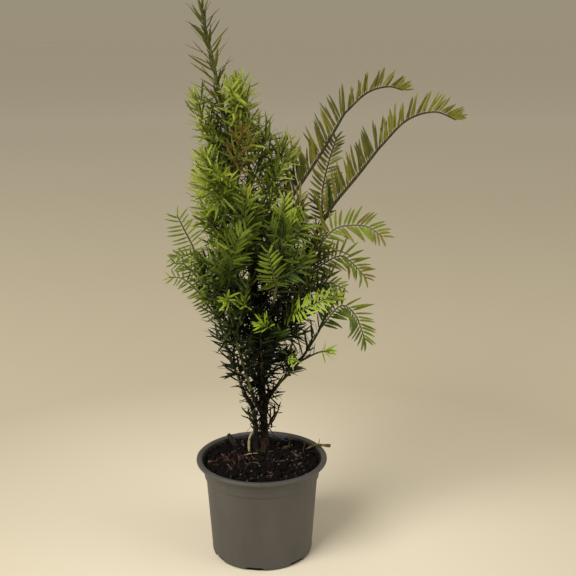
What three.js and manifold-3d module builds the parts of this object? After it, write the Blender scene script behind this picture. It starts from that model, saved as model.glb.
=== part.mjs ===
// English yew (Taxus baccata), a young plant about 0.45 m tall, in its round grey nursery pot.
// Millimetres, +Z up. The origin is the centre of the pot's flat underside. -Y is the side that
// the plant is looked at from, and +X is the side its two long arching shoots reach out to.
//
// The plant is a trunk that runs up through the crown, a second stem beside it, the boughs that
// leave them, and the masses of foliage that start at the tips of the boughs or on the trunk.
// Every limb is a tapering tube along a smooth curve through a few named points.

import * as THREE from 'three';
import { mergeVertices } from 'three/addons/utils/BufferGeometryUtils.js';
import Module from 'manifold-3d';

const wasm = await Module();
wasm.setup();

// ---------------------------------------------------------------- driving sizes

const GAP = 0.3; // clear space between solids that meet

// Nursery pot: thin moulded plastic, with a rolled lip and a wider band under it.
const POT_HEIGHT = 100;
const LIP_RADIUS = 65;
const LIP_DEPTH = 4;
const MOUTH_RADIUS = 59.6;
const BAND_RADIUS = 57.9;
const BAND_FOOT = 81;
const BODY_TOP_RADIUS = 55.5;
const FOOT_RADIUS = 50;
const WALL = 1.2;
const FLOOR = 1.8;
const POT_SIDES = 40;

// Drainage notches round the foot of the pot.
const NOTCHES = 7;
const NOTCH_WIDTH = 17;
const NOTCH_HEIGHT = 2.8;
const NOTCH_PHASE = THREE.MathUtils.degToRad(263);

// Compost: filled to a little under the lip, and mounded up to the foot of the plant.
const SOIL_EDGE = 89.5;
const SOIL_TOP = 95;
const FOOT_X = 1;
const FOOT_Y = 18;
const PAD_RADIUS = 10;
const SOIL_SIDES = 28;
const SOIL_INSET = 0.5; // clear of the wall's flats all round

// Yew needles. They are larger than life, because each one stands for two or three.
const NEEDLE_LENGTH = 28;
const ARCH_NEEDLE_LENGTH = 25;
const NEEDLE_WIDTH = 4.5;
const NEEDLE_THICKNESS = 1.2;
const NEEDLE_SHOULDER = 0.62; // share of the length where a needle starts to narrow to its point
const NEEDLE_SIZES = [1, 0.84, 0.7, 0.56]; // tried in turn until one keeps to its space
const NEEDLE_SWINGS = [0, 0.5, -0.5]; // radians round the twig, tried for each size
const NEEDLE_FIT = 1.5; // a needle is no wider than this many runs of its twig, seen along it
const TIP_SHORTENING = 0.42; // the last needles of a shoot are shorter by this share
const SPEAR_LENGTH = 9; // the last point of a shoot, past its twig
const GOLDEN_ANGLE = Math.PI * (3 - Math.sqrt(5));

// How far a needle leans off its twig, in degrees: at the foot of the shoot, and less at its tip.
const LEAN = { foot: 62, tip: 32, power: 1.5 };
const UPPER_LEAN = { foot: 82, tip: 60, power: 4 };
const LEAN_SPREAD = 6;

// How far the two rows of a flat spray rise out of its plane, in radians.
const FLAT_RISE = 0.12;
const FLAT_RISE_SPREAD = 0.2;
const UPPER_RISE = 1.2;

// Twigs inside the masses are three-sided.
const STEM_RADIUS = 1.5;
const SHOOT_RADIUS = 1.15;
const TIP_RADIUS = 0.7;
const RUN = 4.8; // length of one straight run along a twig, which carries one needle
const BARE_RUNS = 4; // the most runs without needles that one long face may cover
const MASS_SINK = 1.5; // a mass starts this far back inside its bough's tip, and is cut clear of it

// Seeded side twigs: the share of the stem they start in, and their length and curve.
const TWIGS_FROM = 0.2;
const TWIGS_OVER = 0.6;
const TWIG_REACH = 0.36; // length of the longest, as a share of its stem
const TWIG_LEAST = 8;
const TWIG_SHORTENING = 0.45; // the topmost are shorter by this share of their length
const TWIG_TURN_FLAT = 0.6; // radians of spread about the spray's plane
const TWIG_TURN_ROUND = 2.4;

// Limbs.
const LIMB_STEP = 20;
const TAPER_POWER = 0.8;
const TRUNK_SIDES = 8;
const STEM_SIDES = 7;
const BOUGH_SIDES = 5;

// ---------------------------------------------------------------- colours

const material = (color, roughness) =>
  new THREE.MeshStandardMaterial({ color, roughness, metalness: 0 });

const POT_GREY = 0x6b655b;
const COMPOST_BROWN = 0x1d1510;
const BARK_RED = 0x5c3427;
const BARK_DARK = 0x35261d;
const STRAW = 0xb9a97c;
const OLD_GREEN = 0x18260f;
const MID_GREEN = 0x2f4416;
const LEAF_GREEN = 0x4f6a1c;
const YOUNG_GREEN = 0x6f8a26;
const GOLD_GREEN = 0x77752a;
const FRESH_GREEN = 0x86b52c;

// ---------------------------------------------------------------- the limbs

// The trunk stands on the compost and runs up to the foot of the leading shoot.
const TRUNK = {
  name: 'trunk',
  path: [[3, 18, 95.3], [1, 17, 153], [-4, 12, 238], [-15, 9, 322], [-26, 5, 394]],
  foot: 4.1, tip: 1.7, flare: 1.9, flareHeight: 7.3,
};

// The second stem stands on the compost too, close to the left of the trunk.
const STEM_LEFT = {
  name: 'stem_left', path: [[-5.5, 18.5, 95.3], [-8, 12, 142], [-18, 6, 165]],
  foot: 3.2, tip: 1.9, flare: 1, flareHeight: 4.5,
};

// Each bough leaves the trunk's middle line at height `at` and runs through `path` to its tip.
const BOUGHS = [
  { name: 'bough_left_inner', at: 134, path: [[-5, 4, 154], [-10, -6, 172]], foot: 2.2, tip: 1.6 },
  { name: 'bough_right_low', at: 146, path: [[9, 11, 161], [17, 6, 174]], foot: 2.3, tip: 1.7 },
  { name: 'bough_front_low', at: 166, path: [[1, 1, 184], [1, -10, 196]], foot: 2, tip: 1.6 },
  { name: 'bough_back_left', at: 156, path: [[-9, 26, 178], [-16, 33, 192]], foot: 2, tip: 1.6 },
  { name: 'bough_back_right', at: 176, path: [[8, 24, 192], [14, 32, 206]], foot: 2, tip: 1.6 },
  { name: 'bough_right_mid', at: 186, path: [[9, 8, 209], [18, 2, 230]], foot: 2.2, tip: 1.6 },
  { name: 'bough_arch_low', at: 212, path: [[23, 15, 264], [45, 11, 308], [57, 6, 332]], foot: 2.4,
    tip: 1.7 },
  { name: 'bough_front_mid', at: 222, path: [[6, -10, 246], [13, -26, 266]], foot: 2, tip: 1.6 },
  { name: 'bough_back_mid', at: 232, path: [[-5, 28, 262], [-5, 36, 280]], foot: 2, tip: 1.6 },
  { name: 'bough_arch_up', at: 246, path: [[9, 15, 297], [23, 12, 349]], foot: 2.2, tip: 1.6 },
];

// ---------------------------------------------------------------- the masses of foliage

// `from` is the limb whose tip the mass grows on from, or a height on the trunk.
// `path` is the middle line of its stem. `shoots` are its named side shoots: `at` is a share of
// the stem's length, and the points lead to the shoot's tip. `twigs` counts the seeded side twigs.
// `rank` is how the needles stand: all round, in two flat rows, or in two rows turned upward.
// `face` is the way the flat side of a two-rowed spray looks.
const FRONT = [0, -1, 0.25];
const SKYWARD = [-0.5, 0, 1];
const MASSES = [
  { name: 'leader', from: 'trunk', path: [[-33, 3, 436], [-39, 2, 481], [-47, 0, 531]],
    rank: 'round', twigs: 0, color: GOLD_GREEN },
  { name: 'top_left', from: 378, path: [[-43, 9, 420], [-58, 13, 458]], rank: 'round',
    twigs: 1, color: YOUNG_GREEN },
  { name: 'top_right', from: 370, path: [[-13, -2, 418], [-16, -6, 466]], rank: 'round',
    twigs: 2, color: YOUNG_GREEN },
  { name: 'shoulder_right', from: 346, path: [[-1, 12, 390], [7, 16, 430]], rank: 'round',
    twigs: 2, color: LEAF_GREEN },
  { name: 'shoulder_far_right', from: 312, path: [[9, 6, 370], [26, 9, 416]], rank: 'round',
    twigs: 3, color: LEAF_GREEN },
  { name: 'tuft_gold', from: 384, path: [[-19, -18, 408], [-13, -34, 424]], rank: 'round',
    twigs: 0, color: GOLD_GREEN },
  { name: 'star_front', from: 346, path: [[-29, -20, 370], [-37, -42, 388]], rank: 'round',
    twigs: 2, color: FRESH_GREEN },
  { name: 'left_high', from: 334, path: [[-40, 3, 366], [-50, 0, 400]], rank: 'round',
    twigs: 2, color: YOUNG_GREEN },
  { name: 'left_mid', from: 292, path: [[-34, 12, 320], [-49, 13, 352]], rank: 'round',
    twigs: 2, color: LEAF_GREEN },
  { name: 'left_outer', from: 'stem_left',
    path: [[-32, 0, 211], [-44, -3, 252], [-57, -8, 314], [-69, -13, 342]],
    shoots: [{ at: 0.63, path: [[-64, -10, 294], [-74, -12, 297]], face: FRONT },
      { at: 0.44, path: [[-58, 6, 274], [-70, 11, 281]], face: FRONT }],
    rank: 'round', twigs: 2, color: MID_GREEN },
  { name: 'left_inner', from: 'bough_left_inner',
    path: [[-22, -16, 221], [-30, -22, 266], [-40, -26, 322]],
    shoots: [{ at: 0.38, path: [[-16, -38, 262], [-13, -50, 276]], rank: 'flat', face: [0, -0.6, 1] },
      { at: 0.66, path: [[-24, -42, 312], [-16, -50, 336]], rank: 'flat', face: FRONT }],
    rank: 'round', twigs: 2, color: MID_GREEN },
  { name: 'centre_left', from: 256, path: [[-26, -6, 290], [-30, -10, 334]], rank: 'round',
    twigs: 2, color: LEAF_GREEN },
  { name: 'inner_mid', from: 196, path: [[-7, -6, 228], [-9, -20, 264]], rank: 'round',
    twigs: 1, color: OLD_GREEN },
  { name: 'front_low', from: 'bough_front_low', path: [[1, -26, 220], [0, -38, 254]],
    shoots: [{ at: 0.16, path: [[18, -24, 204], [30, -30, 212]], rank: 'flat', face: [0, -0.5, 1] }],
    rank: 'flat', face: FRONT, twigs: 2, color: MID_GREEN },
  { name: 'front_mid', from: 'bough_front_mid', path: [[20, -40, 314], [23, -40, 366]],
    rank: 'flat', face: FRONT, twigs: 4, color: LEAF_GREEN },
  { name: 'front_high', from: 288, path: [[-13, -20, 326], [-11, -32, 372]], rank: 'flat',
    face: FRONT, twigs: 3, color: YOUNG_GREEN },
  { name: 'right_low', from: 'bough_right_low',
    path: [[36, 0, 197], [54, -4, 227], [64, -7, 250]],
    shoots: [{ at: 0.55, path: [[57, -14, 254], [76, -20, 272]], rank: 'flat', face: [0, -0.7, 1] },
      { at: 0.86, path: [[84, -12, 250], [95, -16, 231]], rank: 'flat', face: FRONT },
      { at: 0.46, path: [[66, 5, 216], [76, 8, 207]], rank: 'flat', face: FRONT }],
    rank: 'round', twigs: 1, color: MID_GREEN },
  { name: 'right_inner', from: 204, path: [[20, -4, 238], [24, -16, 276]], rank: 'round',
    twigs: 2, color: OLD_GREEN },
  { name: 'right_mid', from: 'bough_right_mid',
    path: [[36, -6, 264], [48, -10, 300], [58, -14, 330]],
    shoots: [{ at: 0.84, path: [[80, -20, 331], [102, -24, 333]], rank: 'flat', face: FRONT },
      { at: 0.62, path: [[74, -4, 303], [91, 2, 288]], rank: 'flat', face: FRONT },
      { at: 0.42, path: [[60, -15, 284], [79, -20, 281]], rank: 'flat', face: FRONT }],
    rank: 'round', twigs: 1, color: LEAF_GREEN },
  { name: 'right_high', from: 280, path: [[14, -4, 322], [38, -12, 364]], rank: 'flat',
    face: FRONT, twigs: 3, color: GOLD_GREEN },
  { name: 'arch_low_rise', from: 'bough_arch_low',
    path: [[66, 3, 354], [89, 0, 382], [111, -3, 408]],
    shoots: [{ at: 0.06, path: [[65, 13, 372], [66, 16, 414]], rank: 'flat', face: FRONT }],
    rank: 'upper', face: SKYWARD, twigs: 0, runsOn: true, color: GOLD_GREEN },
  { name: 'arch_low_tip', from: 'arch_low_rise',
    path: [[136, -6, 432], [164, -8, 439], [188, -10, 433]],
    rank: 'upper', face: SKYWARD, twigs: 0, color: GOLD_GREEN },
  { name: 'arch_up_rise', from: 'bough_arch_up',
    path: [[42, 10, 377], [58, 8, 402], [79, 5, 439]],
    rank: 'upper', face: SKYWARD, twigs: 0, runsOn: true, color: GOLD_GREEN },
  { name: 'arch_up_tip', from: 'arch_up_rise', path: [[98, 4, 457], [117, 2, 464], [132, 0, 461]],
    rank: 'upper', face: SKYWARD, twigs: 0, color: GOLD_GREEN },
  { name: 'back_left_low', from: 'bough_back_left', path: [[-31, 44, 230], [-40, 46, 272]],
    rank: 'round', twigs: 2, color: OLD_GREEN },
  { name: 'back_right_low', from: 'bough_back_right', path: [[30, 42, 238], [42, 44, 278]],
    rank: 'round', twigs: 2, color: OLD_GREEN },
  { name: 'back_mid', from: 'bough_back_mid', path: [[-8, 48, 320], [-12, 48, 364]],
    rank: 'round', twigs: 2, color: LEAF_GREEN },
  { name: 'back_right_mid', from: 241, path: [[20, 33, 292], [38, 38, 334]], rank: 'round',
    twigs: 2, color: MID_GREEN },
  { name: 'back_left_mid', from: 222, path: [[-26, 28, 270], [-46, 36, 316]], rank: 'round',
    twigs: 2, color: MID_GREEN },
  { name: 'back_right_high', from: 302, path: [[8, 30, 346], [14, 36, 388]], rank: 'round',
    twigs: 2, color: LEAF_GREEN },
  { name: 'back_left_high', from: 324, path: [[-36, 30, 362], [-42, 34, 406]], rank: 'round',
    twigs: 2, color: LEAF_GREEN },
  { name: 'back_top', from: 362, path: [[-24, 22, 404], [-24, 24, 442]], rank: 'round',
    twigs: 1, color: YOUNG_GREEN },
  { name: 'collar_left', from: 118, path: [[-8, 3, 132], [-12, -4, 146]], rank: 'round',
    twigs: 0, color: OLD_GREEN },
  { name: 'collar_right', from: 122, path: [[11, 8, 134], [17, 3, 148]], rank: 'round',
    twigs: 0, color: OLD_GREEN },
];

// ---------------------------------------------------------------- small tools

const vec = (p) => new THREE.Vector3(p[0], p[1], p[2]);

// A repeatable source of numbers from 0 to 1.
function seeded(seed) {
  let state = seed >>> 0;
  return () => {
    state = (state + 0x6d2b79f5) >>> 0;
    let t = state;
    t = Math.imul(t ^ (t >>> 15), t | 1);
    t ^= t + Math.imul(t ^ (t >>> 7), t | 61);
    return ((t ^ (t >>> 14)) >>> 0) / 4294967296;
  };
}

const seedOf = (name) => [...name].reduce((sum, c) => sum * 31 + c.charCodeAt(0), 7) >>> 0;

// Points about `step` apart along a smooth curve through the given points.
function stations(points, step) {
  const curve = new THREE.CatmullRomCurve3(points, false, 'catmullrom');
  return curve.getSpacedPoints(Math.max(2, Math.round(curve.getLength() / step)));
}

// Wherever distances are compared, a limb or shoot is a chain of straight runs: its points, with
// a radius at each joint.
const startToEnd = new THREE.Vector3();
function nearestOnRun(p, a, b) {
  startToEnd.subVectors(b, a);
  const t = THREE.MathUtils.clamp(
    startToEnd.dot(p.clone().sub(a)) / Math.max(1e-9, startToEnd.lengthSq()), 0, 1);
  return a.clone().addScaledVector(startToEnd, t);
}

function distanceToChain(p, c) {
  let best = Infinity;
  for (let i = 1; i < c.points.length; i += 1) {
    best = Math.min(best, p.distanceTo(nearestOnRun(p, c.points[i - 1], c.points[i])));
  }
  return best;
}

// The least distance between two straight runs.
function runToRun(a, b, c, d) {
  const u = b.clone().sub(a);
  const v = d.clone().sub(c);
  const w = a.clone().sub(c);
  const uu = u.dot(u);
  const uv = u.dot(v);
  const vv = v.dot(v);
  const uw = u.dot(w);
  const vw = v.dot(w);
  const spread = uu * vv - uv * uv;
  let s = spread > 1e-9 ? THREE.MathUtils.clamp((uv * vw - vv * uw) / spread, 0, 1) : 0;
  const t = THREE.MathUtils.clamp((uv * s + vw) / Math.max(vv, 1e-9), 0, 1);
  s = THREE.MathUtils.clamp((uv * t - uw) / Math.max(uu, 1e-9), 0, 1);
  const p = a.clone().addScaledVector(u, s);
  const q = c.clone().addScaledVector(v, t);
  return Math.min(p.distanceTo(q), nearestOnRun(p, c, d).distanceTo(p));
}

// True where a run of half-thickness r comes closer than GAP to a chain.
function touches(a, b, r, c) {
  for (let i = 1; i < c.points.length; i += 1) {
    const thick = Math.max(c.radii[i - 1], c.radii[i]);
    const reach = r + thick + GAP;
    const p = c.points[i - 1];
    if (p.distanceTo(a) > reach + p.distanceTo(c.points[i]) + a.distanceTo(b)) continue;
    if (runToRun(a, b, p, c.points[i]) < reach) return true;
  }
  return false;
}

// ---------------------------------------------------------------- solids

// A closed solid from rings of points, each ring with the same count, closed by a fan at each end.
function solidOfRings(rings) {
  const n = rings[0].length;
  const position = rings.flat().flatMap((p) => [p.x, p.y, p.z]);
  const faces = [];
  for (let k = 1; k < rings.length; k += 1) {
    for (let i = 0; i < n; i += 1) {
      const j = (i + 1) % n;
      const a = (k - 1) * n + i;
      const b = (k - 1) * n + j;
      faces.push(a, b, k * n + j, a, k * n + j, k * n + i);
    }
  }
  const top = (rings.length - 1) * n;
  for (let i = 1; i < n - 1; i += 1) {
    faces.push(0, i + 1, i);
    faces.push(top, top + i, top + i + 1);
  }
  return solidOf(position, faces);
}

function solidOf(position, faces) {
  return new wasm.Manifold(new wasm.Mesh({
    numProp: 3,
    vertProperties: new Float32Array(position),
    triVerts: new Uint32Array(faces),
  }));
}

// A tapering tube along a chain, with `sides` sides. Its frame is carried along without twist.
function tube(points, radii, sides) {
  const tangents = points.map((p, i) => {
    const before = points[Math.max(0, i - 1)];
    const after = points[Math.min(points.length - 1, i + 1)];
    return after.clone().sub(before).normalize();
  });
  let across = new THREE.Vector3(0, 1, 0);
  if (Math.abs(across.dot(tangents[0])) > 0.9) across = new THREE.Vector3(1, 0, 0);
  const rings = points.map((p, i) => {
    across.addScaledVector(tangents[i], -across.dot(tangents[i])).normalize();
    const up = tangents[i].clone().cross(across);
    return Array.from({ length: sides }, (_, k) => {
      const angle = (2 * Math.PI * k) / sides;
      return p.clone()
        .addScaledVector(across, radii[i] * Math.cos(angle))
        .addScaledVector(up, radii[i] * Math.sin(angle));
    });
  });
  return solidOfRings(rings);
}

// The same tube, thicker and longer by the gap, used to cut a neighbour clear of it.
function tubeWithGap(limb) {
  const points = limb.points.map((p) => p.clone());
  const last = points.length - 1;
  const ahead = points[last].clone().sub(points[last - 1]).normalize();
  points[last].addScaledVector(ahead, GAP);
  const sides = limb.sides;
  const radii = limb.radii.map((r) => r + GAP / Math.cos(Math.PI / sides));
  return tube(points, radii, sides);
}

// All the solids joined in pairs, so that no join has to carry a large one for long.
function joined(solids) {
  let list = solids;
  while (list.length > 1) {
    const next = [];
    for (let i = 0; i < list.length; i += 2) {
      next.push(i + 1 < list.length ? list[i].add(list[i + 1]) : list[i]);
    }
    list = next;
  }
  return list[0];
}

// Only the largest outer surface: a loose scrap is dropped, and a hollow sealed inside is filled.
function wholeSurface(solid) {
  const { vertProperties, triVerts, numProp } = solid.getMesh();
  const parent = Array.from({ length: vertProperties.length / numProp }, (_, i) => i);
  const root = (i) => {
    let r = i;
    while (parent[r] !== r) r = parent[r];
    parent[i] = r;
    return r;
  };
  for (let i = 0; i < triVerts.length; i += 3) {
    parent[root(triVerts[i])] = root(triVerts[i + 1]);
    parent[root(triVerts[i + 1])] = root(triVerts[i + 2]);
  }
  const at = (i) => new THREE.Vector3().fromArray(vertProperties, i * numProp);
  const shells = new Map();
  for (let i = 0; i < triVerts.length; i += 3) {
    const [a, b, c] = [at(triVerts[i]), at(triVerts[i + 1]), at(triVerts[i + 2])];
    const key = root(triVerts[i]);
    if (!shells.has(key)) shells.set(key, { volume: 0, position: [] });
    const shell = shells.get(key);
    shell.volume += a.dot(b.clone().cross(c)) / 6;
    shell.position.push(...a.toArray(), ...b.toArray(), ...c.toArray());
  }
  return [...shells.values()].sort((p, q) => q.volume - p.volume)[0].position;
}

function meshOf(name, solid, color, roughness) {
  const geometry = new THREE.BufferGeometry();
  geometry.setAttribute('position', new THREE.Float32BufferAttribute(wholeSurface(solid), 3));
  geometry.computeVertexNormals();
  const mesh = new THREE.Mesh(geometry, material(color, roughness));
  mesh.name = name;
  return mesh;
}

// ---------------------------------------------------------------- pot and compost

// A solid of revolution about Z from (radius, height) points that start and end on the axis.
function turned(profile, sides) {
  const outline = profile.map(([radius, height]) => new THREE.Vector2(radius, height));
  const lathe = new THREE.LatheGeometry(outline, sides).rotateX(Math.PI / 2);
  lathe.deleteAttribute('normal');
  lathe.deleteAttribute('uv');
  const { attributes, index } = mergeVertices(lathe, 1e-3);
  return solidOf(attributes.position.array, index.array);
}

// An upright block with its long side along `angle`.
function block(centre, angle, long, wide, low, high) {
  const out = new THREE.Vector3(Math.cos(angle), Math.sin(angle), 0);
  const side = new THREE.Vector3(-out.y, out.x, 0);
  const ring = (z) => [[-1, -1], [1, -1], [1, 1], [-1, 1]].map(([u, v]) =>
    centre.clone()
      .addScaledVector(out, (u * long) / 2)
      .addScaledVector(side, (v * wide) / 2)
      .setZ(z));
  return solidOfRings([ring(low), ring(high)]);
}

const bodyRadius = (z) => FOOT_RADIUS + ((BODY_TOP_RADIUS - FOOT_RADIUS) * z) / BAND_FOOT;

function pot() {
  const lipFoot = POT_HEIGHT - LIP_DEPTH;
  let solid = turned([
    [0, 0],
    [FOOT_RADIUS - 1.4, 0],
    [FOOT_RADIUS, 1.6],
    [BODY_TOP_RADIUS, BAND_FOOT - 0.6],
    [BAND_RADIUS - 0.5, BAND_FOOT + 0.8],
    [BAND_RADIUS, lipFoot - 0.6],
    [LIP_RADIUS - 0.8, lipFoot + 0.6],
    [LIP_RADIUS, POT_HEIGHT - 1.8],
    [LIP_RADIUS - 0.7, POT_HEIGHT - 0.4],
    [(LIP_RADIUS + MOUTH_RADIUS) / 2, POT_HEIGHT],
    [MOUTH_RADIUS, POT_HEIGHT - 1.2],
    [BAND_RADIUS - WALL, lipFoot - 3],
    [BAND_RADIUS - WALL - 0.5, BAND_FOOT + 2],
    [BODY_TOP_RADIUS - WALL, BAND_FOOT - 0.4],
    [bodyRadius(FLOOR) - WALL, FLOOR],
    [0, FLOOR],
  ], POT_SIDES);
  for (let i = 0; i < NOTCHES; i += 1) {
    const angle = NOTCH_PHASE + (2 * Math.PI * i) / NOTCHES;
    const centre = new THREE.Vector3(Math.cos(angle), Math.sin(angle), 0).multiplyScalar(FOOT_RADIUS);
    solid = solid.subtract(block(centre, angle, 9, NOTCH_WIDTH, -1, NOTCH_HEIGHT));
  }
  return solid;
}

// Rings of the compost's surface. They open out from a flat pad at the plant's foot to the wall.
function compost(lift) {
  const random = seeded(11);
  const side = [
    [bodyRadius(FLOOR) - WALL - SOIL_INSET, FLOOR + GAP],
    [BODY_TOP_RADIUS - WALL - SOIL_INSET, BAND_FOOT - 0.6],
    [BAND_RADIUS - WALL - 0.5 - SOIL_INSET, BAND_FOOT + 2],
    [BAND_RADIUS - WALL - 0.3 - SOIL_INSET, SOIL_EDGE],
  ];
  const wall = side[side.length - 1][0];
  const ringAt = (x, y, r, height) => Array.from({ length: SOIL_SIDES }, (_, i) => {
    const angle = (2 * Math.PI * i) / SOIL_SIDES;
    return new THREE.Vector3(x + r * Math.cos(angle), y + r * Math.sin(angle), height() + lift);
  });
  const rings = side.map(([r, z]) => ringAt(0, 0, r, () => z));
  const steps = 5;
  for (let k = steps - 1; k >= 0; k -= 1) {
    const u = k / steps;
    const r = PAD_RADIUS + (wall - PAD_RADIUS) * u;
    const mound = SOIL_EDGE + (SOIL_TOP - SOIL_EDGE) * (1 - u) ** 1.4;
    const rough = k === 0 ? 0 : 1.5;
    rings.push(ringAt(FOOT_X * (1 - u), FOOT_Y * (1 - u), r, () => mound - rough * random()));
  }
  return solidOfRings(rings);
}

// ---------------------------------------------------------------- litter on the compost

// A chip of bark that stands up at the back left, cut to sit on the compost.
function barkChip() {
  const slab = tube([vec([-27, 38, 88]), vec([-31, 42, 96]), vec([-36, 46, 104])], [3.4, 3.6, 2.4], 5);
  return slab.subtract(compost(GAP));
}

// A dry stick that lies over the lip on the right.
function dryStick() {
  return tube([vec([46, 27, 95]), vec([53, 24.3, 100.6]), vec([59, 21.8, 102]), vec([69, 18, 102.8])],
    [1, 1.1, 1.3, 1.9], 5).subtract(compost(GAP));
}

// A pale dead needle that leans beside the stems.
function deadNeedle() {
  return tube([vec([-14, 6, 90]), vec([-15.2, 6, 103]), vec([-14, 6, 114]), vec([-11.6, 6, 121])],
    [1.1, 1.2, 1.1, 0.7], 4).subtract(compost(GAP));
}

// ---------------------------------------------------------------- limbs

function limbOf(spec, path, sides) {
  const points = stations(path.map(vec), LIMB_STEP);
  if (spec.flare) points.splice(1, 0, points[0].clone().lerp(points[1], 0.45));
  const foot = points[0];
  const total = foot.distanceTo(points[points.length - 1]);
  const radii = points.map((p) => {
    const taper = (spec.tip - spec.foot) * (foot.distanceTo(p) / total) ** TAPER_POWER;
    const flare = spec.flare ? spec.flare * Math.exp(-(p.z - foot.z) / spec.flareHeight) : 0;
    return spec.foot + taper + flare;
  });
  return { name: spec.name, points, radii, sides };
}

const trunk = limbOf(TRUNK, TRUNK.path, TRUNK_SIDES);

function trunkAt(height) {
  for (let i = 1; i < trunk.points.length; i += 1) {
    const a = trunk.points[i - 1];
    const b = trunk.points[i];
    if (height <= b.z) return a.clone().lerp(b, (height - a.z) / (b.z - a.z));
  }
  return trunk.points[trunk.points.length - 1].clone();
}

const stemLeft = limbOf(STEM_LEFT, STEM_LEFT.path, STEM_SIDES);
const limbs = [trunk, stemLeft];
for (const bough of BOUGHS) {
  limbs.push(limbOf(bough, [trunkAt(bough.at).toArray(), ...bough.path], BOUGH_SIDES));
}

// The flat cut under the trunk and the left stem: nothing of them goes below this height.
function levelFoot(solid) {
  const centre = new THREE.Vector3(FOOT_X, FOOT_Y, 0);
  return solid.subtract(block(centre, 0, LIP_RADIUS, LIP_RADIUS, SOIL_EDGE, SOIL_TOP + GAP));
}

const trunkGap = tubeWithGap(trunk);
const stemGap = tubeWithGap(stemLeft);

function limbSolid(limb) {
  const solid = tube(limb.points, limb.radii, limb.sides);
  if (limb === trunk) return levelFoot(solid);
  if (limb === stemLeft) return levelFoot(solid).subtract(trunkGap);
  return solid.subtract(trunkGap).subtract(stemGap);
}

// ---------------------------------------------------------------- masses: shoots

const ends = new Map(limbs.map((limb) => [limb.name, limb]));

// Where a mass begins, and the limb that it is cut clear of there.
function rootOf(mass) {
  if (typeof mass.from === 'number') return { start: trunkAt(mass.from), parent: trunk };
  const parent = ends.get(mass.from);
  const last = parent.points.length - 1;
  const start = parent.points[last].clone();
  start.addScaledVector(start.clone().sub(parent.points[last - 1]).normalize(), -MASS_SINK);
  return { start, parent };
}

// Two directions across a shoot: `face` is the flat side of its spray and `side` lies in it.
function acrossOf(ahead, face) {
  const outward = vec(face).addScaledVector(ahead, -vec(face).dot(ahead)).normalize();
  return { face: outward, side: outward.clone().cross(ahead).normalize() };
}

// A shoot is a three-sided twig in short runs. `ring` gives its three corners at each joint:
// the first run's faces look to the right, to the left and under. All-round shoots turn as
// they go, so that the needles climb them in a spiral.
function shootOf(path, foot, options) {
  const points = stations(path, RUN);
  const last = points.length - 1;
  const radii = points.map((p, i) => foot + (TIP_RADIUS - foot) * (i / last));
  const aheads = points.map((p, i) =>
    points[Math.min(last, i + 1)].clone().sub(points[Math.max(0, i - 1)]).normalize());
  const turn = options.rank === 'round' ? GOLDEN_ANGLE - (2 * Math.PI) / 3 : 0;
  const rings = points.map((p, i) => {
    const { side, face } = acrossOf(aheads[i], options.face);
    return [-Math.PI / 6, Math.PI / 2, (7 * Math.PI) / 6].map((corner) => p.clone()
      .addScaledVector(side, radii[i] * Math.cos(corner + turn * i))
      .addScaledVector(face, radii[i] * Math.sin(corner + turn * i)));
  });
  return { ...options, points, radii, aheads, rings, turn, sides: 3, needles: [] };
}

function placeAt(shoot, share) {
  const i = Math.round(share * (shoot.points.length - 1));
  return { point: shoot.points[i].clone(), ahead: shoot.aheads[i].clone() };
}

const masses = [];
for (const spec of MASSES) {
  const { start, parent } = rootOf(spec);
  const stem = shootOf([start, ...spec.path.map(vec)], STEM_RADIUS, {
    rank: spec.rank, face: spec.face ?? FRONT, stem: true, runsOn: spec.runsOn });
  const shoots = [stem];
  for (const side of spec.shoots ?? []) {
    const root = placeAt(stem, side.at).point;
    shoots.push(shootOf([root, ...side.path.map(vec)], SHOOT_RADIUS, {
      rank: side.rank ?? spec.rank, face: side.face ?? spec.face ?? FRONT }));
  }
  ends.set(spec.name, stem);
  masses.push({ spec, parent, stem, shoots });
}

// Masses that are one shoot split at a bend share their space along it.
const sameShoot = (a, b) => a.spec.from === b.spec.name || b.spec.from === a.spec.name;

// True where the point is nearer to this mass's shoots than to those of any other mass.
function inOwnSpace(p, mass) {
  const own = Math.min(...mass.shoots.map((s) => distanceToChain(p, s)));
  return masses.every((other) => other === mass || sameShoot(mass, other)
    || other.shoots.every((s) => distanceToChain(p, s) > own));
}

function clearOfLimbs(a, b, r) {
  return b.z > SOIL_TOP + 5 && limbs.every((limb) => !touches(a, b, r, limb));
}

// Seeded side twigs: they leave the stem on alternate sides and turn up toward its tip.
function addTwigs(mass) {
  const random = seeded(seedOf(mass.spec.name));
  const total = mass.stem.points.length * RUN;
  for (let i = 0; i < mass.spec.twigs; i += 1) {
    const share = TWIGS_FROM + (TWIGS_OVER * (i + 0.35 + 0.3 * random())) / mass.spec.twigs;
    const { point, ahead } = placeAt(mass.stem, share);
    const { side, face } = acrossOf(ahead, mass.stem.face);
    const spread = mass.stem.rank === 'flat' ? TWIG_TURN_FLAT : TWIG_TURN_ROUND;
    const turn = (i % 2 ? 0 : Math.PI) + (random() - 0.5) * spread;
    const out = side.clone().multiplyScalar(Math.cos(turn)).addScaledVector(face, Math.sin(turn));
    const reach = TWIG_LEAST
      + TWIG_REACH * total * (0.8 + 0.4 * random()) * (1 - TWIG_SHORTENING * share);
    const middle = point.clone().addScaledVector(ahead, reach * 0.3).addScaledVector(out, reach * 0.34);
    const tip = point.clone().addScaledVector(ahead, reach * 0.8).addScaledVector(out, reach * 0.6);
    const clear = clearOfLimbs(middle, tip, TIP_RADIUS)
      && masses.every((other) => other === mass
        || other.shoots.every((s) => !touches(point, tip, SHOOT_RADIUS + 1, s)));
    if (!clear || !inOwnSpace(tip, mass)) continue;
    mass.shoots.push(shootOf([point, middle, tip], SHOOT_RADIUS, {
      rank: mass.stem.rank, face: mass.stem.face }));
  }
}
masses.forEach(addTwigs);

// ---------------------------------------------------------------- masses: needles

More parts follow.
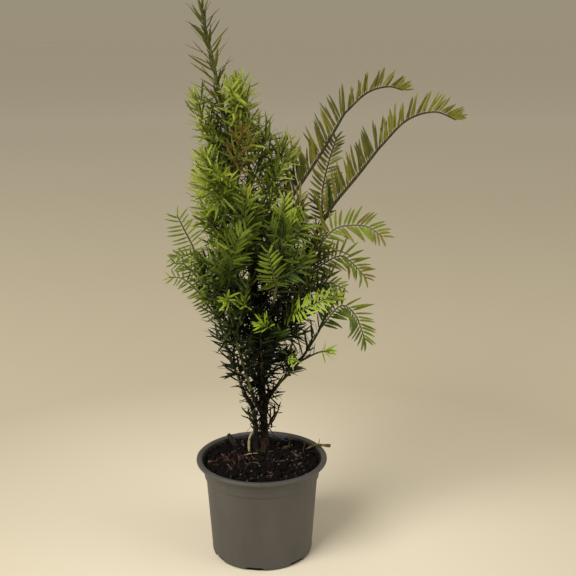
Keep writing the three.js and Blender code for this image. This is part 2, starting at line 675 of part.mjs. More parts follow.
function crowds(n, m, gap, share) {
  const a = n.root.clone().lerp(n.end, share);
  const b = m.root.clone().lerp(m.end, share);
  return runToRun(a, n.end, b, m.end) < (n.width + m.width) / 2 + gap;
}

function keepsItsSpace(n, mass, shoot) {
  if (!clearOfLimbs(n.root, n.end, n.width / 2)) return false;
  if (shoot.needles.some((m) => m && crowds(n, m, 0.1, 0.35))) return false;
  for (const s of mass.shoots) {
    if (s === shoot) continue;
    if (touches(n.root.clone().lerp(n.end, 0.25), n.end, n.width / 2, s)) return false;
    if (s.needles.some((m) => m && crowds(n, m, 0.1, 0))) return false;
  }
  for (const other of masses) {
    if (other === mass) continue;
    for (const s of other.shoots) {
      if (touches(n.root, n.end, n.width / 2, s)) return false;
      if (s.needles.some((m) => m && crowds(n, m, GAP, 0))) return false;
    }
  }
  return inOwnSpace(n.root.clone().lerp(n.end, 0.6), mass)
    && inOwnSpace(n.root.clone().lerp(n.end, 0.92), mass);
}

// One needle on run `i` of a shoot. It leans toward the shoot's tip, more so near the tip.
function needleOn(shoot, i, size, swing, random) {
  const share = i / (shoot.points.length - 1);
  const face = shoot.rank === 'round' ? i % 3 : i % 2;
  const ahead = shoot.points[i + 1].clone().sub(shoot.points[i]).normalize();
  const [a, b] = [shoot.rings[i][face], shoot.rings[i][(face + 1) % 3]];
  const [c, d] = [shoot.rings[i + 1][(face + 1) % 3], shoot.rings[i + 1][face]];
  const root = a.clone().add(b).add(c).add(d).multiplyScalar(0.25);
  const across = acrossOf(ahead, shoot.face);
  const { foot, tip, power } = shoot.rank === 'upper' ? UPPER_LEAN : LEAN;
  const rest = foot + (tip - foot) * share ** power;
  const lean = THREE.MathUtils.degToRad(rest + LEAN_SPREAD * (random() - 0.5));
  const out = new THREE.Vector3();
  if (shoot.rank === 'round') {
    out.subVectors(root, shoot.points[i].clone().lerp(shoot.points[i + 1], 0.5));
  } else {
    const rise = shoot.rank === 'upper' ? UPPER_RISE : FLAT_RISE + FLAT_RISE_SPREAD * random();
    out.addScaledVector(across.side, (face === 0 ? 1 : -1) * Math.cos(rise));
    out.addScaledVector(across.face, Math.sin(rise));
  }
  out.addScaledVector(ahead, -ahead.dot(out)).normalize().applyAxisAngle(ahead, swing);
  const axis = ahead.clone().multiplyScalar(Math.cos(lean)).addScaledVector(out, Math.sin(lean));
  const wide = ahead.clone().addScaledVector(axis, -ahead.dot(axis)).normalize();
  const full = shoot.rank === 'upper' ? ARCH_NEEDLE_LENGTH : NEEDLE_LENGTH;
  const length = full * size * (1 - TIP_SHORTENING * share ** 3) * (0.92 + 0.16 * random());
  const width = Math.min((NEEDLE_WIDTH * (1 + size)) / 2, RUN * NEEDLE_FIT * Math.sin(lean));
  const end = root.clone().addScaledVector(axis, length);
  return { face, root, axis, wide, width, end };
}

function addNeedles(mass, shoot) {
  const random = seeded(seedOf(mass.spec.name) + mass.shoots.indexOf(shoot) * 977);
  const bare = shoot.stem ? 1 : 2;
  for (let i = 0; i < shoot.points.length - 1; i += 1) {
    let kept = null;
    for (const size of i < bare ? [] : NEEDLE_SIZES) {
      for (const swing of NEEDLE_SWINGS) {
        const needle = needleOn(shoot, i, size, swing, random);
        if (!kept && keepsItsSpace(needle, mass, shoot)) kept = needle;
      }
      if (kept) break;
    }
    shoot.needles.push(kept);
  }
}
for (const mass of masses) {
  for (const shoot of mass.shoots) addNeedles(mass, shoot);
}

// The joints that the skin needs: one between two bare runs is left out.
function jointsOf(shoot) {
  const out = [0];
  for (let i = 1; i < shoot.points.length - 1; i += 1) {
    const bare = !shoot.needles[i - 1] && !shoot.needles[i];
    if (!bare || i - out[out.length - 1] >= BARE_RUNS) out.push(i);
  }
  out.push(shoot.points.length - 1);
  return out;
}

// The twig and its needles in one skin. A needle grows out of the face of its run: it narrows to
// a shoulder past the middle of its length and then to a point. The last one ends the twig.
function shootSolid(shoot) {
  const position = [];
  const faces = [];
  const point = (p) => position.push(p.x, p.y, p.z) / 3 - 1;
  const joints = jointsOf(shoot);
  const ids = joints.map((joint) => shoot.rings[joint].map(point));
  const last = ids.length - 1;
  for (let i = 0; i < last; i += 1) {
    const needle = shoot.needles[joints[i]];
    for (let k = 0; k < 3; k += 1) {
      const j = (k + 1) % 3;
      const loop = [ids[i][k], ids[i][j], ids[i + 1][j], ids[i + 1][k]];
      if (!needle || needle.face !== k) {
        faces.push(loop[0], loop[1], loop[2], loop[0], loop[2], loop[3]);
        continue;
      }
      const thin = needle.wide.clone().cross(needle.axis).normalize();
      const middle = needle.root.clone().lerp(needle.end, NEEDLE_SHOULDER);
      const shoulder = [[-1, -1], [-1, 1], [1, 1], [1, -1]].map(([u, v]) => point(middle.clone()
        .addScaledVector(needle.wide, (u * needle.width) / 2)
        .addScaledVector(thin, (v * NEEDLE_THICKNESS) / 2)));
      const tip = point(needle.end);
      for (let m = 0; m < 4; m += 1) {
        const n = (m + 1) % 4;
        faces.push(loop[m], loop[n], shoulder[n], loop[m], shoulder[n], shoulder[m]);
        faces.push(shoulder[m], shoulder[n], tip);
      }
    }
  }
  faces.push(ids[0][0], ids[0][2], ids[0][1]);
  if (shoot.runsOn) {
    faces.push(ids[last][0], ids[last][1], ids[last][2]);
  } else {
    const tip = shoot.points.length - 1;
    const reach = shoot.points[tip].clone().addScaledVector(shoot.aheads[tip], SPEAR_LENGTH);
    const end = point(reach);
    for (let k = 0; k < 3; k += 1) faces.push(ids[last][k], ids[last][(k + 1) % 3], end);
  }
  return solidOf(position, faces);
}

function massSolid(mass) {
  return joined(mass.shoots.map(shootSolid)).subtract(tubeWithGap(mass.parent));
}

// ---------------------------------------------------------------- the whole plant in its pot

const plant = new THREE.Group();
plant.name = 'english_yew';
plant.add(meshOf('pot', pot(), POT_GREY, 0.6));
plant.add(meshOf('compost', compost(0), COMPOST_BROWN, 0.95));
plant.add(meshOf('bark_chip', barkChip(), BARK_RED, 0.9));
plant.add(meshOf('dry_stick', dryStick(), BARK_RED, 0.9));
plant.add(meshOf('dead_needle', deadNeedle(), STRAW, 0.8));
for (const limb of limbs) {
  plant.add(meshOf(limb.name, limbSolid(limb), limb === trunk ? BARK_RED : BARK_DARK, 0.85));
}
for (const mass of masses) {
  plant.add(meshOf(mass.spec.name, massSolid(mass), mass.spec.color, 0.55));
}

export default plant;
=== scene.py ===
# %% [markdown]
# # A young English yew in its nursery pot
#
# This lesson dresses a plain faceted model of a small yew. The faceted model is the frame: it fixes
# where the pot, the trunk, the boughs and each mass of foliage stand. Every piece made here grows
# on from it, and stays inside its reach. The steps go from the pot up: camera and light first, then
# the pot, the compost and its litter, the bark, the twigs, and last the needles.
#
# All tables of points are in millimetres, as a maker would note them down. Blender works in
# metres, so `MM` turns one into the other at the moment a mesh is made.

# %% Load the frame
import math

import bmesh
import bpy
import numpy as np
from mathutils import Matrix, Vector, noise


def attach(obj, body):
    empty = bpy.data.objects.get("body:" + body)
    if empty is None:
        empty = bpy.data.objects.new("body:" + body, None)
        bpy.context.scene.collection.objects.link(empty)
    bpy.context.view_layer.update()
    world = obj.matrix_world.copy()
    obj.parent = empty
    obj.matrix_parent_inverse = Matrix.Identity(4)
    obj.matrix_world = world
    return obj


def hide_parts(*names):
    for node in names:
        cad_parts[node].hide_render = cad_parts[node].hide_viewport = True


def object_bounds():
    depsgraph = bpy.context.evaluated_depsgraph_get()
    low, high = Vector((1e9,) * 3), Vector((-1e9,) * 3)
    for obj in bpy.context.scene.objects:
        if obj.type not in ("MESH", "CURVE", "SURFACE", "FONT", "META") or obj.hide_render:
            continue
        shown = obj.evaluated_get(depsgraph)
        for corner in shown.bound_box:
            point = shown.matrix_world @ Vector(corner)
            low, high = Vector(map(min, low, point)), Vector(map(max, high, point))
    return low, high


MM = 0.001
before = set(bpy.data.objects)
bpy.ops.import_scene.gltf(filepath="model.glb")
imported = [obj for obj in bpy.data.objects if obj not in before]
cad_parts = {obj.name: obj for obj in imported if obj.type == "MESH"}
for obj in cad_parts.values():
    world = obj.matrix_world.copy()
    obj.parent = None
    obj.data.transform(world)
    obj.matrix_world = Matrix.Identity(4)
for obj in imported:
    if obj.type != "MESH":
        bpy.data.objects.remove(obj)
cad_low, cad_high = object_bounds()
print(len(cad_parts), "solids in a box of", [round(v / MM) for v in (*cad_low, *cad_high)], "mm")

# %% [markdown]
# ## Camera and light
#
# The plant is seen from the front and a little above, as someone sees a pot on a low table. A lens
# of 62.5 mm keeps the pot's ellipses gentle. The light is a large soft window on the upper left,
# a weaker one on the right, and a pale sky all round, so that the inside of the crown stays dark
# while the outer needles are bright. A wide plain floor catches one soft shadow.

# %% Camera
LENS = 62.5
SENSOR = 36.0
NEAREST = 0.02
CAMERA_PLACE = (0.0262, -0.9269, 0.5110)
CAMERA_TILT = 14.4


def shown(name, data, spot=(0, 0, 0)):
    """A new object in the scene."""
    thing = bpy.data.objects.new(name, data)
    thing.location = spot
    bpy.context.scene.collection.objects.link(thing)
    return thing


camera_data = bpy.data.cameras.new("camera")
camera_data.lens = LENS
camera_data.sensor_width = SENSOR
camera_data.clip_start = NEAREST
camera = shown("camera", camera_data, CAMERA_PLACE)
camera.rotation_euler = (math.radians(90 - CAMERA_TILT), 0, 0)
bpy.context.scene.camera = camera
bpy.context.scene.view_settings.view_transform = "Standard"
print("camera with a lens of", LENS, "mm, tilted down by", CAMERA_TILT, "degrees")


# %% Nodes and colours
def socket_of(value):
    """A socket as it is, or the first output of a whole node."""
    return value.outputs[0] if isinstance(value, bpy.types.Node) else value


def fed(tree, kind, feeds=None, **settings):
    """A new node with its settings. `feeds` gives its inputs a value, a socket or a node."""
    node = tree.nodes.new(kind)
    for setting, value in settings.items():
        setattr(node, setting, value)
    for name, value in (feeds or {}).items():
        value = socket_of(value)
        if isinstance(value, bpy.types.NodeSocket):
            tree.links.new(value, node.inputs[name])
        else:
            node.inputs[name].default_value = value
    return node


def linear(code):
    """The linear red, green and blue of a colour written as six hexadecimal digits."""
    parts = [int(code[i:i + 2], 16) / 255 for i in (0, 2, 4)]
    return [p / 12.92 if p <= 0.04045 else ((p + 0.055) / 1.055) ** 2.4 for p in parts] + [1.0]


def ramp(tree, value, stops):
    """Colours along a value. `stops` lists pairs of place and six-digit colour."""
    node = fed(tree, "ShaderNodeValToRGB", {"Fac": value})
    elements = node.color_ramp.elements
    while len(elements) < len(stops):
        elements.new(0.5)
    for element, (where, code) in zip(elements, stops):
        element.position = where
        element.color = linear(code)
    return node


def place(tree, stretch=(1, 1, 1)):
    """Object coordinates, stretched. All the patterns here are laid out on them."""
    where = fed(tree, "ShaderNodeTexCoord").outputs["Object"]
    return fed(tree, "ShaderNodeMapping", {"Vector": where, "Scale": stretch})


def cloud(tree, scale, detail=3.0, grain=0.55, stretch=(1, 1, 1)):
    """A soft noise over a piece, as a number from 0 to 1."""
    return fed(tree, "ShaderNodeTexNoise", {"Vector": place(tree, stretch), "Scale": scale,
                                            "Detail": detail, "Roughness": grain})


print("a half grey is", round(linear("808080")[0], 3), "in linear light")


# %% Finishes
def drive(tree, name, value):
    """Lets a pattern drive one input of the material's shader."""
    tree.links.new(socket_of(value), tree.nodes["Principled BSDF"].inputs[name])


def new_finish(name, roughness, specular):
    """A material that is ready for its colour, and its node tree."""
    material = bpy.data.materials.new(name)
    material.use_nodes = True
    inputs = material.node_tree.nodes["Principled BSDF"].inputs
    inputs["Roughness"].default_value = roughness
    inputs["Specular IOR Level"].default_value = specular
    return material, material.node_tree


def clouded(name, stops, roughness, specular=0.2, scale=500, *pattern):
    """A finish whose tones change in soft clouds, over a piece or from crumb to crumb."""
    material, tree = new_finish(name, roughness, specular)
    tones = ramp(tree, cloud(tree, scale, *pattern), stops)
    tones.name = "tones"
    drive(tree, "Base Color", tones)
    return material


def relief(material, strength, distance, *pattern):
    """Adds small relief that is too fine for the mesh."""
    tree = material.node_tree
    drive(tree, "Normal", fed(tree, "ShaderNodeBump", {
        "Strength": strength, "Distance": distance, "Height": cloud(tree, *pattern)}))


# %% Light
CROWN_MIDDLE = Vector((0.0, 0.0, 0.3))
WINDOWS = {"window_left": ((-1.5, -1.65, 2.03), 1.8, 85, (1.0, 0.985, 0.95)),
           "window_right": ((1.5, -0.6, 0.9), 1.2, 10, (0.97, 0.98, 1.0))}
SKY_TONES = [(0.0, "d2c5a9"), (0.25, "d4ccb8")]
SKY_STRENGTH = 0.5

for name, (spot, size, watts, colour) in WINDOWS.items():
    window = bpy.data.lights.new(name, "AREA")
    window.size = size
    window.energy = watts
    window.color = colour
    lamp = shown(name, window, spot)
    lamp.rotation_euler = (CROWN_MIDDLE - Vector(spot)).to_track_quat("-Z", "Y").to_euler()

world = bpy.data.worlds.new("pale_room")
world.use_nodes = True
tree = world.node_tree
look_to = fed(tree, "ShaderNodeTexCoord").outputs["Generated"]
look_height = fed(tree, "ShaderNodeSeparateXYZ", {"Vector": look_to}).outputs["Z"]
sky = tree.nodes["Background"].inputs
tree.links.new(ramp(tree, look_height, SKY_TONES).outputs["Color"], sky["Color"])
sky["Strength"].default_value = SKY_STRENGTH
bpy.context.scene.world = world
print(len(WINDOWS), "windows and a pale sky")

# %% Floor
FLOOR_REACH = 40.0
FLOOR_UNIT = 5.0
FLOOR_TONES = [(0.03, "eee3cc"), (0.1, "d2c6ad"), (0.25, "dacfb7"), (0.6, "f0e6d3"), (1.0, "fdf6e8")]

floor_mesh = bpy.data.meshes.new("floor")
corners = [(-1, -1), (1, -1), (1, 1), (-1, 1)]
floor_mesh.from_pydata([(x * FLOOR_REACH, y * FLOOR_REACH, 0) for x, y in corners], [], [(0, 1, 2, 3)])
floor_finish, tree = new_finish("floor_pale", 0.7, 0.2)
away = fed(tree, "ShaderNodeVectorMath", {0: place(tree, (1 / FLOOR_UNIT,) * 3)}, operation="LENGTH")
drive(tree, "Base Color", ramp(tree, away.outputs["Value"], FLOOR_TONES))
floor_mesh.materials.append(floor_finish)
floor = shown("floor", floor_mesh)
print("floor of", 2 * FLOOR_REACH, "m a side")

# %% [markdown]
# ## Helpers that every piece shares
#
# Three small helpers carry the lesson. `finished` puts a mesh into the scene and hides the faceted
# parts that it stands for. `surface` makes a skin from rings of points, which is how a potter's wheel, a
# trunk and a needle are all built up. `grown` runs a Geometry Nodes tree on a mesh and turns the
# result into a plain mesh, because instances would be lost when the model is exported.


# %% Skins and pieces
def around(sides):
    """Even angles round a circle."""
    return np.linspace(0, 2 * math.pi, sides, endpoint=False)


def neighbours(sides):
    """Each place on a ring, with the next one."""
    return [(i, (i + 1) % sides) for i in range(sides)]


def level_ring(radius, height, angles):
    """A ring about Z. Its radius and its height may change from point to point."""
    return np.column_stack(np.broadcast_arrays(radius * np.cos(angles), radius * np.sin(angles), height))


def surface(rings, close_start=True, close_end=True):
    """A skin over rings of equal count: its points and its faces. The rings run counter-clockwise
    seen from the end that they lead to, so the faces look outward."""
    rings = np.asarray(rings, float)
    count, n, _ = rings.shape
    faces = [(k + i, k + j, k + n + j, k + n + i) for k in range(0, (count - 1) * n, n)
             for i, j in neighbours(n)]
    if close_start:
        faces.append(tuple(range(n - 1, -1, -1)))
    if close_end:
        faces.append(tuple(range((count - 1) * n, count * n)))
    return rings.reshape(-1, 3), faces


def mesh_of(*skins):
    """One Blender mesh from skins in millimetres."""
    points, faces = [], []
    for skin_points, skin_faces in skins:
        faces += [tuple(len(points) + i for i in face) for face in skin_faces]
        points += np.asarray(skin_points).tolist()
    mesh = bpy.data.meshes.new("skin")
    mesh.from_pydata((np.array(points) * MM).tolist(), [], faces)
    return mesh


def finished(name, mesh, material, stands_for=(), smooth=True):
    """Adds a mesh to the scene as a piece that rides on the one body of the plant and its pot."""
    mesh.name = name
    mesh.materials.clear()
    mesh.materials.append(material)
    if smooth:
        mesh.shade_smooth()
    else:
        mesh.shade_flat()
    piece = shown(name, mesh)
    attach(piece, "root")
    if stands_for:
        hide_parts(*stands_for)
    print(f"{name}: {len(mesh.vertices)} points, {len(mesh.polygons)} faces")


# %% Node trees that make meshes
def new_tree(name, **inputs):
    """A Geometry Nodes tree and its inputs: a geometry, and named ones. A number is the default of
    its input, and a word is the kind of thing that the input takes."""
    tree = bpy.data.node_groups.new(name, "GeometryNodeTree")
    for way in ("INPUT", "OUTPUT"):
        tree.interface.new_socket("Geometry", in_out=way, socket_type="NodeSocketGeometry")
    for label, value in inputs.items():
        kind = {float: "Float", int: "Int"}.get(type(value), value)
        socket = tree.interface.new_socket(label, in_out="INPUT", socket_type="NodeSocket" + kind)
        if kind != value:
            socket.default_value = value
    return tree, tree.nodes.new("NodeGroupInput").outputs


def attribute_of(tree, name, kind="FLOAT_VECTOR"):
    """Reads a named value that the points carry."""
    return fed(tree, "GeometryNodeInputNamedAttribute", {"Name": name}, data_type=kind)


def close_tree(tree, geometry, material):
    """The end of each tree: its instances are made real, and take their material."""
    real = fed(tree, "GeometryNodeRealizeInstances", {"Geometry": geometry})
    painted = fed(tree, "GeometryNodeSetMaterial", {"Geometry": real, "Material": material})
    fed(tree, "NodeGroupOutput", {"Geometry": painted})
    print(tree.name, "has", len(tree.nodes), "nodes")
    return tree


def evaluated(thing):
    """The plain mesh that an object's modifiers make. The object itself is thrown away."""
    depsgraph = bpy.context.evaluated_depsgraph_get()
    mesh = bpy.data.meshes.new_from_object(thing.evaluated_get(depsgraph), depsgraph=depsgraph)
    bpy.data.objects.remove(thing)
    return mesh


def grown(source_mesh, tree, **values):
    """The plain mesh that a tree makes from a mesh. Inputs are named by words, and set by the
    identifiers of their sockets."""
    holder = shown("holder", source_mesh)
    modifier = holder.modifiers.new("grow", "NODES")
    modifier.node_group = tree
    for item in tree.interface.items_tree:
        if item.in_out == "INPUT" and item.name in values:
            modifier[item.identifier] = values[item.name]
    return evaluated(holder)


# %% [markdown]
# ## The nursery pot
#
# The pot is thin plastic, moulded in one shot: a tapered body, a wider band that stiffens the
# top, and a rolled lip. It could be spun with the Screw modifier, but rings of points make it just
# as fast, and let the small round of each edge be written as numbers. The drainage notches are
# cut with a Boolean, because they cross both the wall and the floor.

# %% Pot sizes
LIP_RADIUS = 65.0
POT_HEIGHT = 100.0
BAND_RADIUS = 57.9
BAND_FOOT = 81.0
LIP_FOOT = 95.8
POT_FLOOR = 1.8
BODY_TOP_RADIUS = 55.5
FOOT_RADIUS = 50.0
WALL = 1.2
POT_SIDES = 180
POT_WOBBLE = 0.0012
NOTCH_COUNT = 7
NOTCH_PHASE = math.radians(263)
NOTCH_REACH = (36.0, 53.0)
NOTCH_ARCH = [(-9.2, -1), (9.2, -1), (8.8, 2.0), (7.6, 3.3), (5.8, 3.8), (-5.8, 3.8), (-7.6, 3.3),
              (-8.8, 2.0)]


def corner(radius, height, *steps):
    """A moulded edge: points given by their steps from one radius and one height."""
    return [(radius + out, height + up) for out, up in steps]


UNDERSIDE = [(0, WALL)] + corner(FOOT_RADIUS, 0, (-10, WALL), (-5.5, 0.9), (-3, 0.1))
OUTSIDE = (
    corner(FOOT_RADIUS, 0, (-1.4, 0), (-0.6, 0.5), (-0.1, 1.6), (0.15, 3.2), (0.55, 4.2), (0.6, 5.2),
           (0.45, 6.2), (0.55, 8))
    + corner(BODY_TOP_RADIUS, BAND_FOOT, (0, -1.6), (0.25, -0.7))
    + corner(BAND_RADIUS, BAND_FOOT, (-1.5, -0.2), (-0.9, 0.3), (-0.6, 1.2))
    + corner(BAND_RADIUS, LIP_FOOT, (0, -1.2), (0.4, -0.5), (1.5, -0.2))
    + corner(LIP_RADIUS, LIP_FOOT, (-2.2, 0), (-0.8, 0.3), (-0.2, 1.1), (0, 2.2))
    + corner(LIP_RADIUS, POT_HEIGHT, (-0.2, -0.8), (-0.9, -0.2), (-2.4, 0)))
INSIDE = (
    corner(LIP_RADIUS, POT_HEIGHT, (-4, -0.2), (-5.1, -0.8), (-5.8, -2))
    + corner(BAND_RADIUS, LIP_FOOT, (0.4, 0.6), (-1, -1.4))
    + [(BAND_RADIUS - 1.7, BAND_FOOT + 3), (BODY_TOP_RADIUS - WALL, BAND_FOOT - 2)]
    + corner(FOOT_RADIUS - WALL, 0, (0.4, 4), (0, 2.4), (-1.2, POT_FLOOR)) + [(0, POT_FLOOR)])
print("pot:", 2 * LIP_RADIUS, "mm over the lip,", len(UNDERSIDE + OUTSIDE + INSIDE), "points on its outline")


# %% Pot shell
def turned(profile, sides):
    """A closed solid of revolution about Z from (radius, height) pairs that start and end at 0. It
    is a little out of round toward the lip."""
    angles = around(sides)
    rings = []
    for radius, height in profile[1:-1]:
        wobble = POT_WOBBLE * np.sin(2 * angles + 0.7) * (height / POT_HEIGHT) ** 2
        rings.append(level_ring(radius * (1 + wobble), height, angles))
    points, faces = surface(rings, close_start=False, close_end=False)
    low, last = len(points), (len(rings) - 1) * sides
    for i, j in neighbours(sides):
        faces += [(low, j, i), (last + i, last + j, low + 1)]
    return np.vstack([points, [(0, 0, profile[0][1]), (0, 0, profile[-1][1])]]), faces


def notch_cutters():
    """Rounded blocks at the foot of the pot, one for each drainage notch."""
    skins = []
    for angle in NOTCH_PHASE + around(NOTCH_COUNT):
        out = np.array([math.cos(angle), math.sin(angle), 0])
        side = np.array([-out[1], out[0], 0])
        skins.append(surface([[out * reach + side * u + (0, 0, v) for u, v in NOTCH_ARCH]
                              for reach in NOTCH_REACH]))
    return skins


pot_body = shown("pot_body", mesh_of(turned(UNDERSIDE + OUTSIDE + INSIDE, POT_SIDES)))
cutter = shown("cutter", mesh_of(*notch_cutters()))
notch_cut = pot_body.modifiers.new("notches", "BOOLEAN")
notch_cut.operation = "DIFFERENCE"
notch_cut.solver = "EXACT"
notch_cut.object = cutter
pot_mesh = evaluated(pot_body)
bpy.data.objects.remove(cutter)
print("pot:", NOTCH_COUNT, "notches cut,", len(pot_mesh.polygons), "faces")

# %% [markdown]
# The plastic is a warm grey, satin rather than matt. It is never quite even, so a soft cloud of
# three nearly equal greys runs through its colour, faint upright streaks through its gloss, and a
# fine grain over its surface.

# %% Pot plastic
POT_TONES = [(0.25, "423f3b"), (0.5, "4a4743"), (0.75, "524f4a")]
pot_finish = clouded("pot_plastic", POT_TONES, 0.5, 0.4, 26, 5, 0.55, (1, 1, 0.35))
relief(pot_finish, 0.12, 0.0004, 900)
tree = pot_finish.node_tree
drive(tree, "Roughness", fed(tree, "ShaderNodeMapRange", {
    "Value": cloud(tree, 420, stretch=(1, 1, 0.06)), "To Min": 0.42, "To Max": 0.62}))
print(pot_finish.name, "has", len(tree.nodes), "nodes")

# %% Compost dust and painted shade on the inner wall
DUST_AND_SHADE_TOP = 99.2
DUST_AND_SHADE_FADE = 2.2
DUST_AND_SHADE_FROM = 2.0
WALL_SLACK = 0.7
DUST_AND_SHADE = "1a120d"


def dust_and_shade_values(mesh):
    """How dark each point is painted: the inner wall is dark up to just under the lip, partly from compost
    dust that clings to it and partly as painted shade.
    """
    radii, heights = zip(*OUTSIDE)
    values = []
    for vertex in mesh.vertices:
        x, y, z = vertex.co / MM
        inside = math.hypot(x, y) < np.interp(z, heights, radii) - WALL_SLACK
        high = min(1.0, max(0.0, (DUST_AND_SHADE_TOP - z) / DUST_AND_SHADE_FADE))
        values.append(high if inside and z > DUST_AND_SHADE_FROM else 0.0)
    return values


# The inner wall is painted dark under the lip: partly compost dust, partly painted shade inside the rim.
dust_and_shade = pot_mesh.attributes.new("dust_and_shade", "FLOAT", "POINT")
dust_and_shade.data.foreach_set("value", dust_and_shade_values(pot_mesh))
dust_and_shade_share = fed(tree, "ShaderNodeAttribute", attribute_name="dust_and_shade").outputs["Fac"]
patchy_dust_and_shade = fed(tree, "ShaderNodeMath", {0: dust_and_shade_share, 1: 1.4, 2: cloud(tree, 160, 6, 0.7)},
             operation="MULTIPLY_ADD")
edge = fed(tree, "ShaderNodeMapRange", {"Value": patchy_dust_and_shade, "From Min": 0.75, "From Max": 1.05})
dust_and_shade_tones = fed(tree, "ShaderNodeMix", {"Factor": edge, "A": tree.nodes["tones"], "B": linear(DUST_AND_SHADE)},
             data_type="RGBA")
drive(tree, "Base Color", dust_and_shade_tones.outputs["Result"])
finished("pot_shell", pot_mesh, pot_finish, ["pot"])

# %% [markdown]
# ## Compost
#
# Potting compost is a dark, loose mix. Its surface is mounded up to the stems and pressed lower at
# the wall. One displaced disc gives the large lumps, and crumbs scattered on it by Geometry Nodes
# give the broken edge that a displaced surface never has. A rough ring of the same mix shows in the
# drainage notches. Bark, chips, grit, root threads and moss lie on top.

# %% Compost surface
SOIL_EDGE = 89.5
SOIL_TOP = 95.0
SOIL_RADIUS = 55.9
SOIL_SLOPE = 1.4
PAD_RADIUS = 10.0
LOOSE = 4.6
FOOT = np.array([1.0, 18.0])
HALVINGS = 18
# Each kind of lump has its height, how close together it comes, and its layer in the noise.
LUMPS = [(0.9, 0.07, 3.1), (1.1, 0.19, 7.7), (0.55, 0.6, 1.3)]
BED_ROWS, BED_SIDES = 46, 150
BED_SKIRT = ((SOIL_RADIUS - 2, 80.0), (SOIL_RADIUS - 0.6, 83.0))
BED_MIDDLE = 0.2
AT_NOTCHES = ((41.0, 0.3), (48.2, 0.3), (48.2, 2.45), (48.2, 4.6), (41.0, 4.6))
RING_ROUGHNESS, RING_CLOSENESS = 0.5, 12


def mound(x, y):
    """Height of the smooth compost at a point: level round the stems, and lower at the wall."""
    low, high = 0.0, 1.0
    for _ in range(HALVINGS):
        u = (low + high) / 2
        reach = PAD_RADIUS + (SOIL_RADIUS - PAD_RADIUS) * u
        if math.hypot(x - FOOT[0] * (1 - u), y - FOOT[1] * (1 - u)) > reach:
            low = u
        else:
            high = u
    return SOIL_EDGE + (SOIL_TOP - SOIL_EDGE) * (1 - low) ** SOIL_SLOPE


def ground(x, y):
    """Height of the rough compost: lumps of about a centimetre, and crumbs on them."""
    lumps = [size * noise.noise(Vector((x * close, y * close, layer))) for size, close, layer in LUMPS]
    return mound(x, y) + sum(lumps) + LOOSE


def compost_bed():
    """A closed disc: relief on top, a short skirt against the pot's wall, and a flat underside."""
    angles = around(BED_SIDES)
    rings = [level_ring(radius, height, angles) for radius, height in BED_SKIRT]
    for k in range(BED_ROWS):
        radius = SOIL_RADIUS * (1 - k / BED_ROWS) + BED_MIDDLE * k / BED_ROWS
        heights = [ground(radius * math.cos(a), radius * math.sin(a)) for a in angles]
        rings.append(level_ring(radius, heights, angles))
    return surface(rings)


def compost_ring(profile, sides=90):
    """A closed ring with a rough skin, from (radius, height) pairs."""
    angles = around(sides)
    rings = []
    for radius, height in profile:
        spots = level_ring(RING_CLOSENESS, height, angles)
        rough = RING_ROUGHNESS * np.array([noise.noise(Vector(spot)) for spot in spots])
        rings.append(level_ring(radius + rough, height, angles))
    points, faces = surface(rings, close_start=False, close_end=False)
    last = (len(rings) - 1) * sides
    faces += [(last + i, last + j, j, i) for i, j in neighbours(sides)]
    return points, faces


COMPOST_TONES = [(0.3, "050302"), (0.52, "0d0906"), (0.66, "1a120c"), (0.8, "30231a")]
compost_finish = clouded("compost_dark", COMPOST_TONES, 0.95, 0.15, 700, 6, 0.7)
relief(compost_finish, 0.8, 0.001, 700, 6, 0.7)
finished("compost_bed", mesh_of(compost_bed()), compost_finish, ["compost"])
finished("compost_at_notches", mesh_of(compost_ring(AT_NOTCHES)), compost_finish)


# %% [markdown]
# Crumbs, bark flakes, chips, grit and moss are each one small rough lump, repeated. A tree with
# named inputs scatters the lump over a patch of ground, turns each one at random, and changes its
# size. The random numbers have fixed seeds, so the pot looks the same each time.

# %% A lump, and a tree that scatters it
LUMP_CLOSENESS = 2.3


def lump(stretch, roughness, seed, faces=1):
    """A small rough stone or crumb about 1 mm across, stretched by three factors."""
    form = bmesh.new()
    bmesh.ops.create_icosphere(form, subdivisions=faces, radius=0.5)
    for vertex in form.verts:
        vertex.co *= 1 + roughness * noise.noise(vertex.co * LUMP_CLOSENESS + Vector((seed, 0, 0)))
        vertex.co = Vector([c * s for c, s in zip(vertex.co, stretch)])
    mesh = bpy.data.meshes.new("lump")
    form.to_mesh(mesh)
    form.free()
    mesh.transform(((MM, 0, 0, 0), (0, MM, 0, 0), (0, 0, MM, 0), (0, 0, 0, 1)))
    return bpy.data.objects.new("lump", mesh)


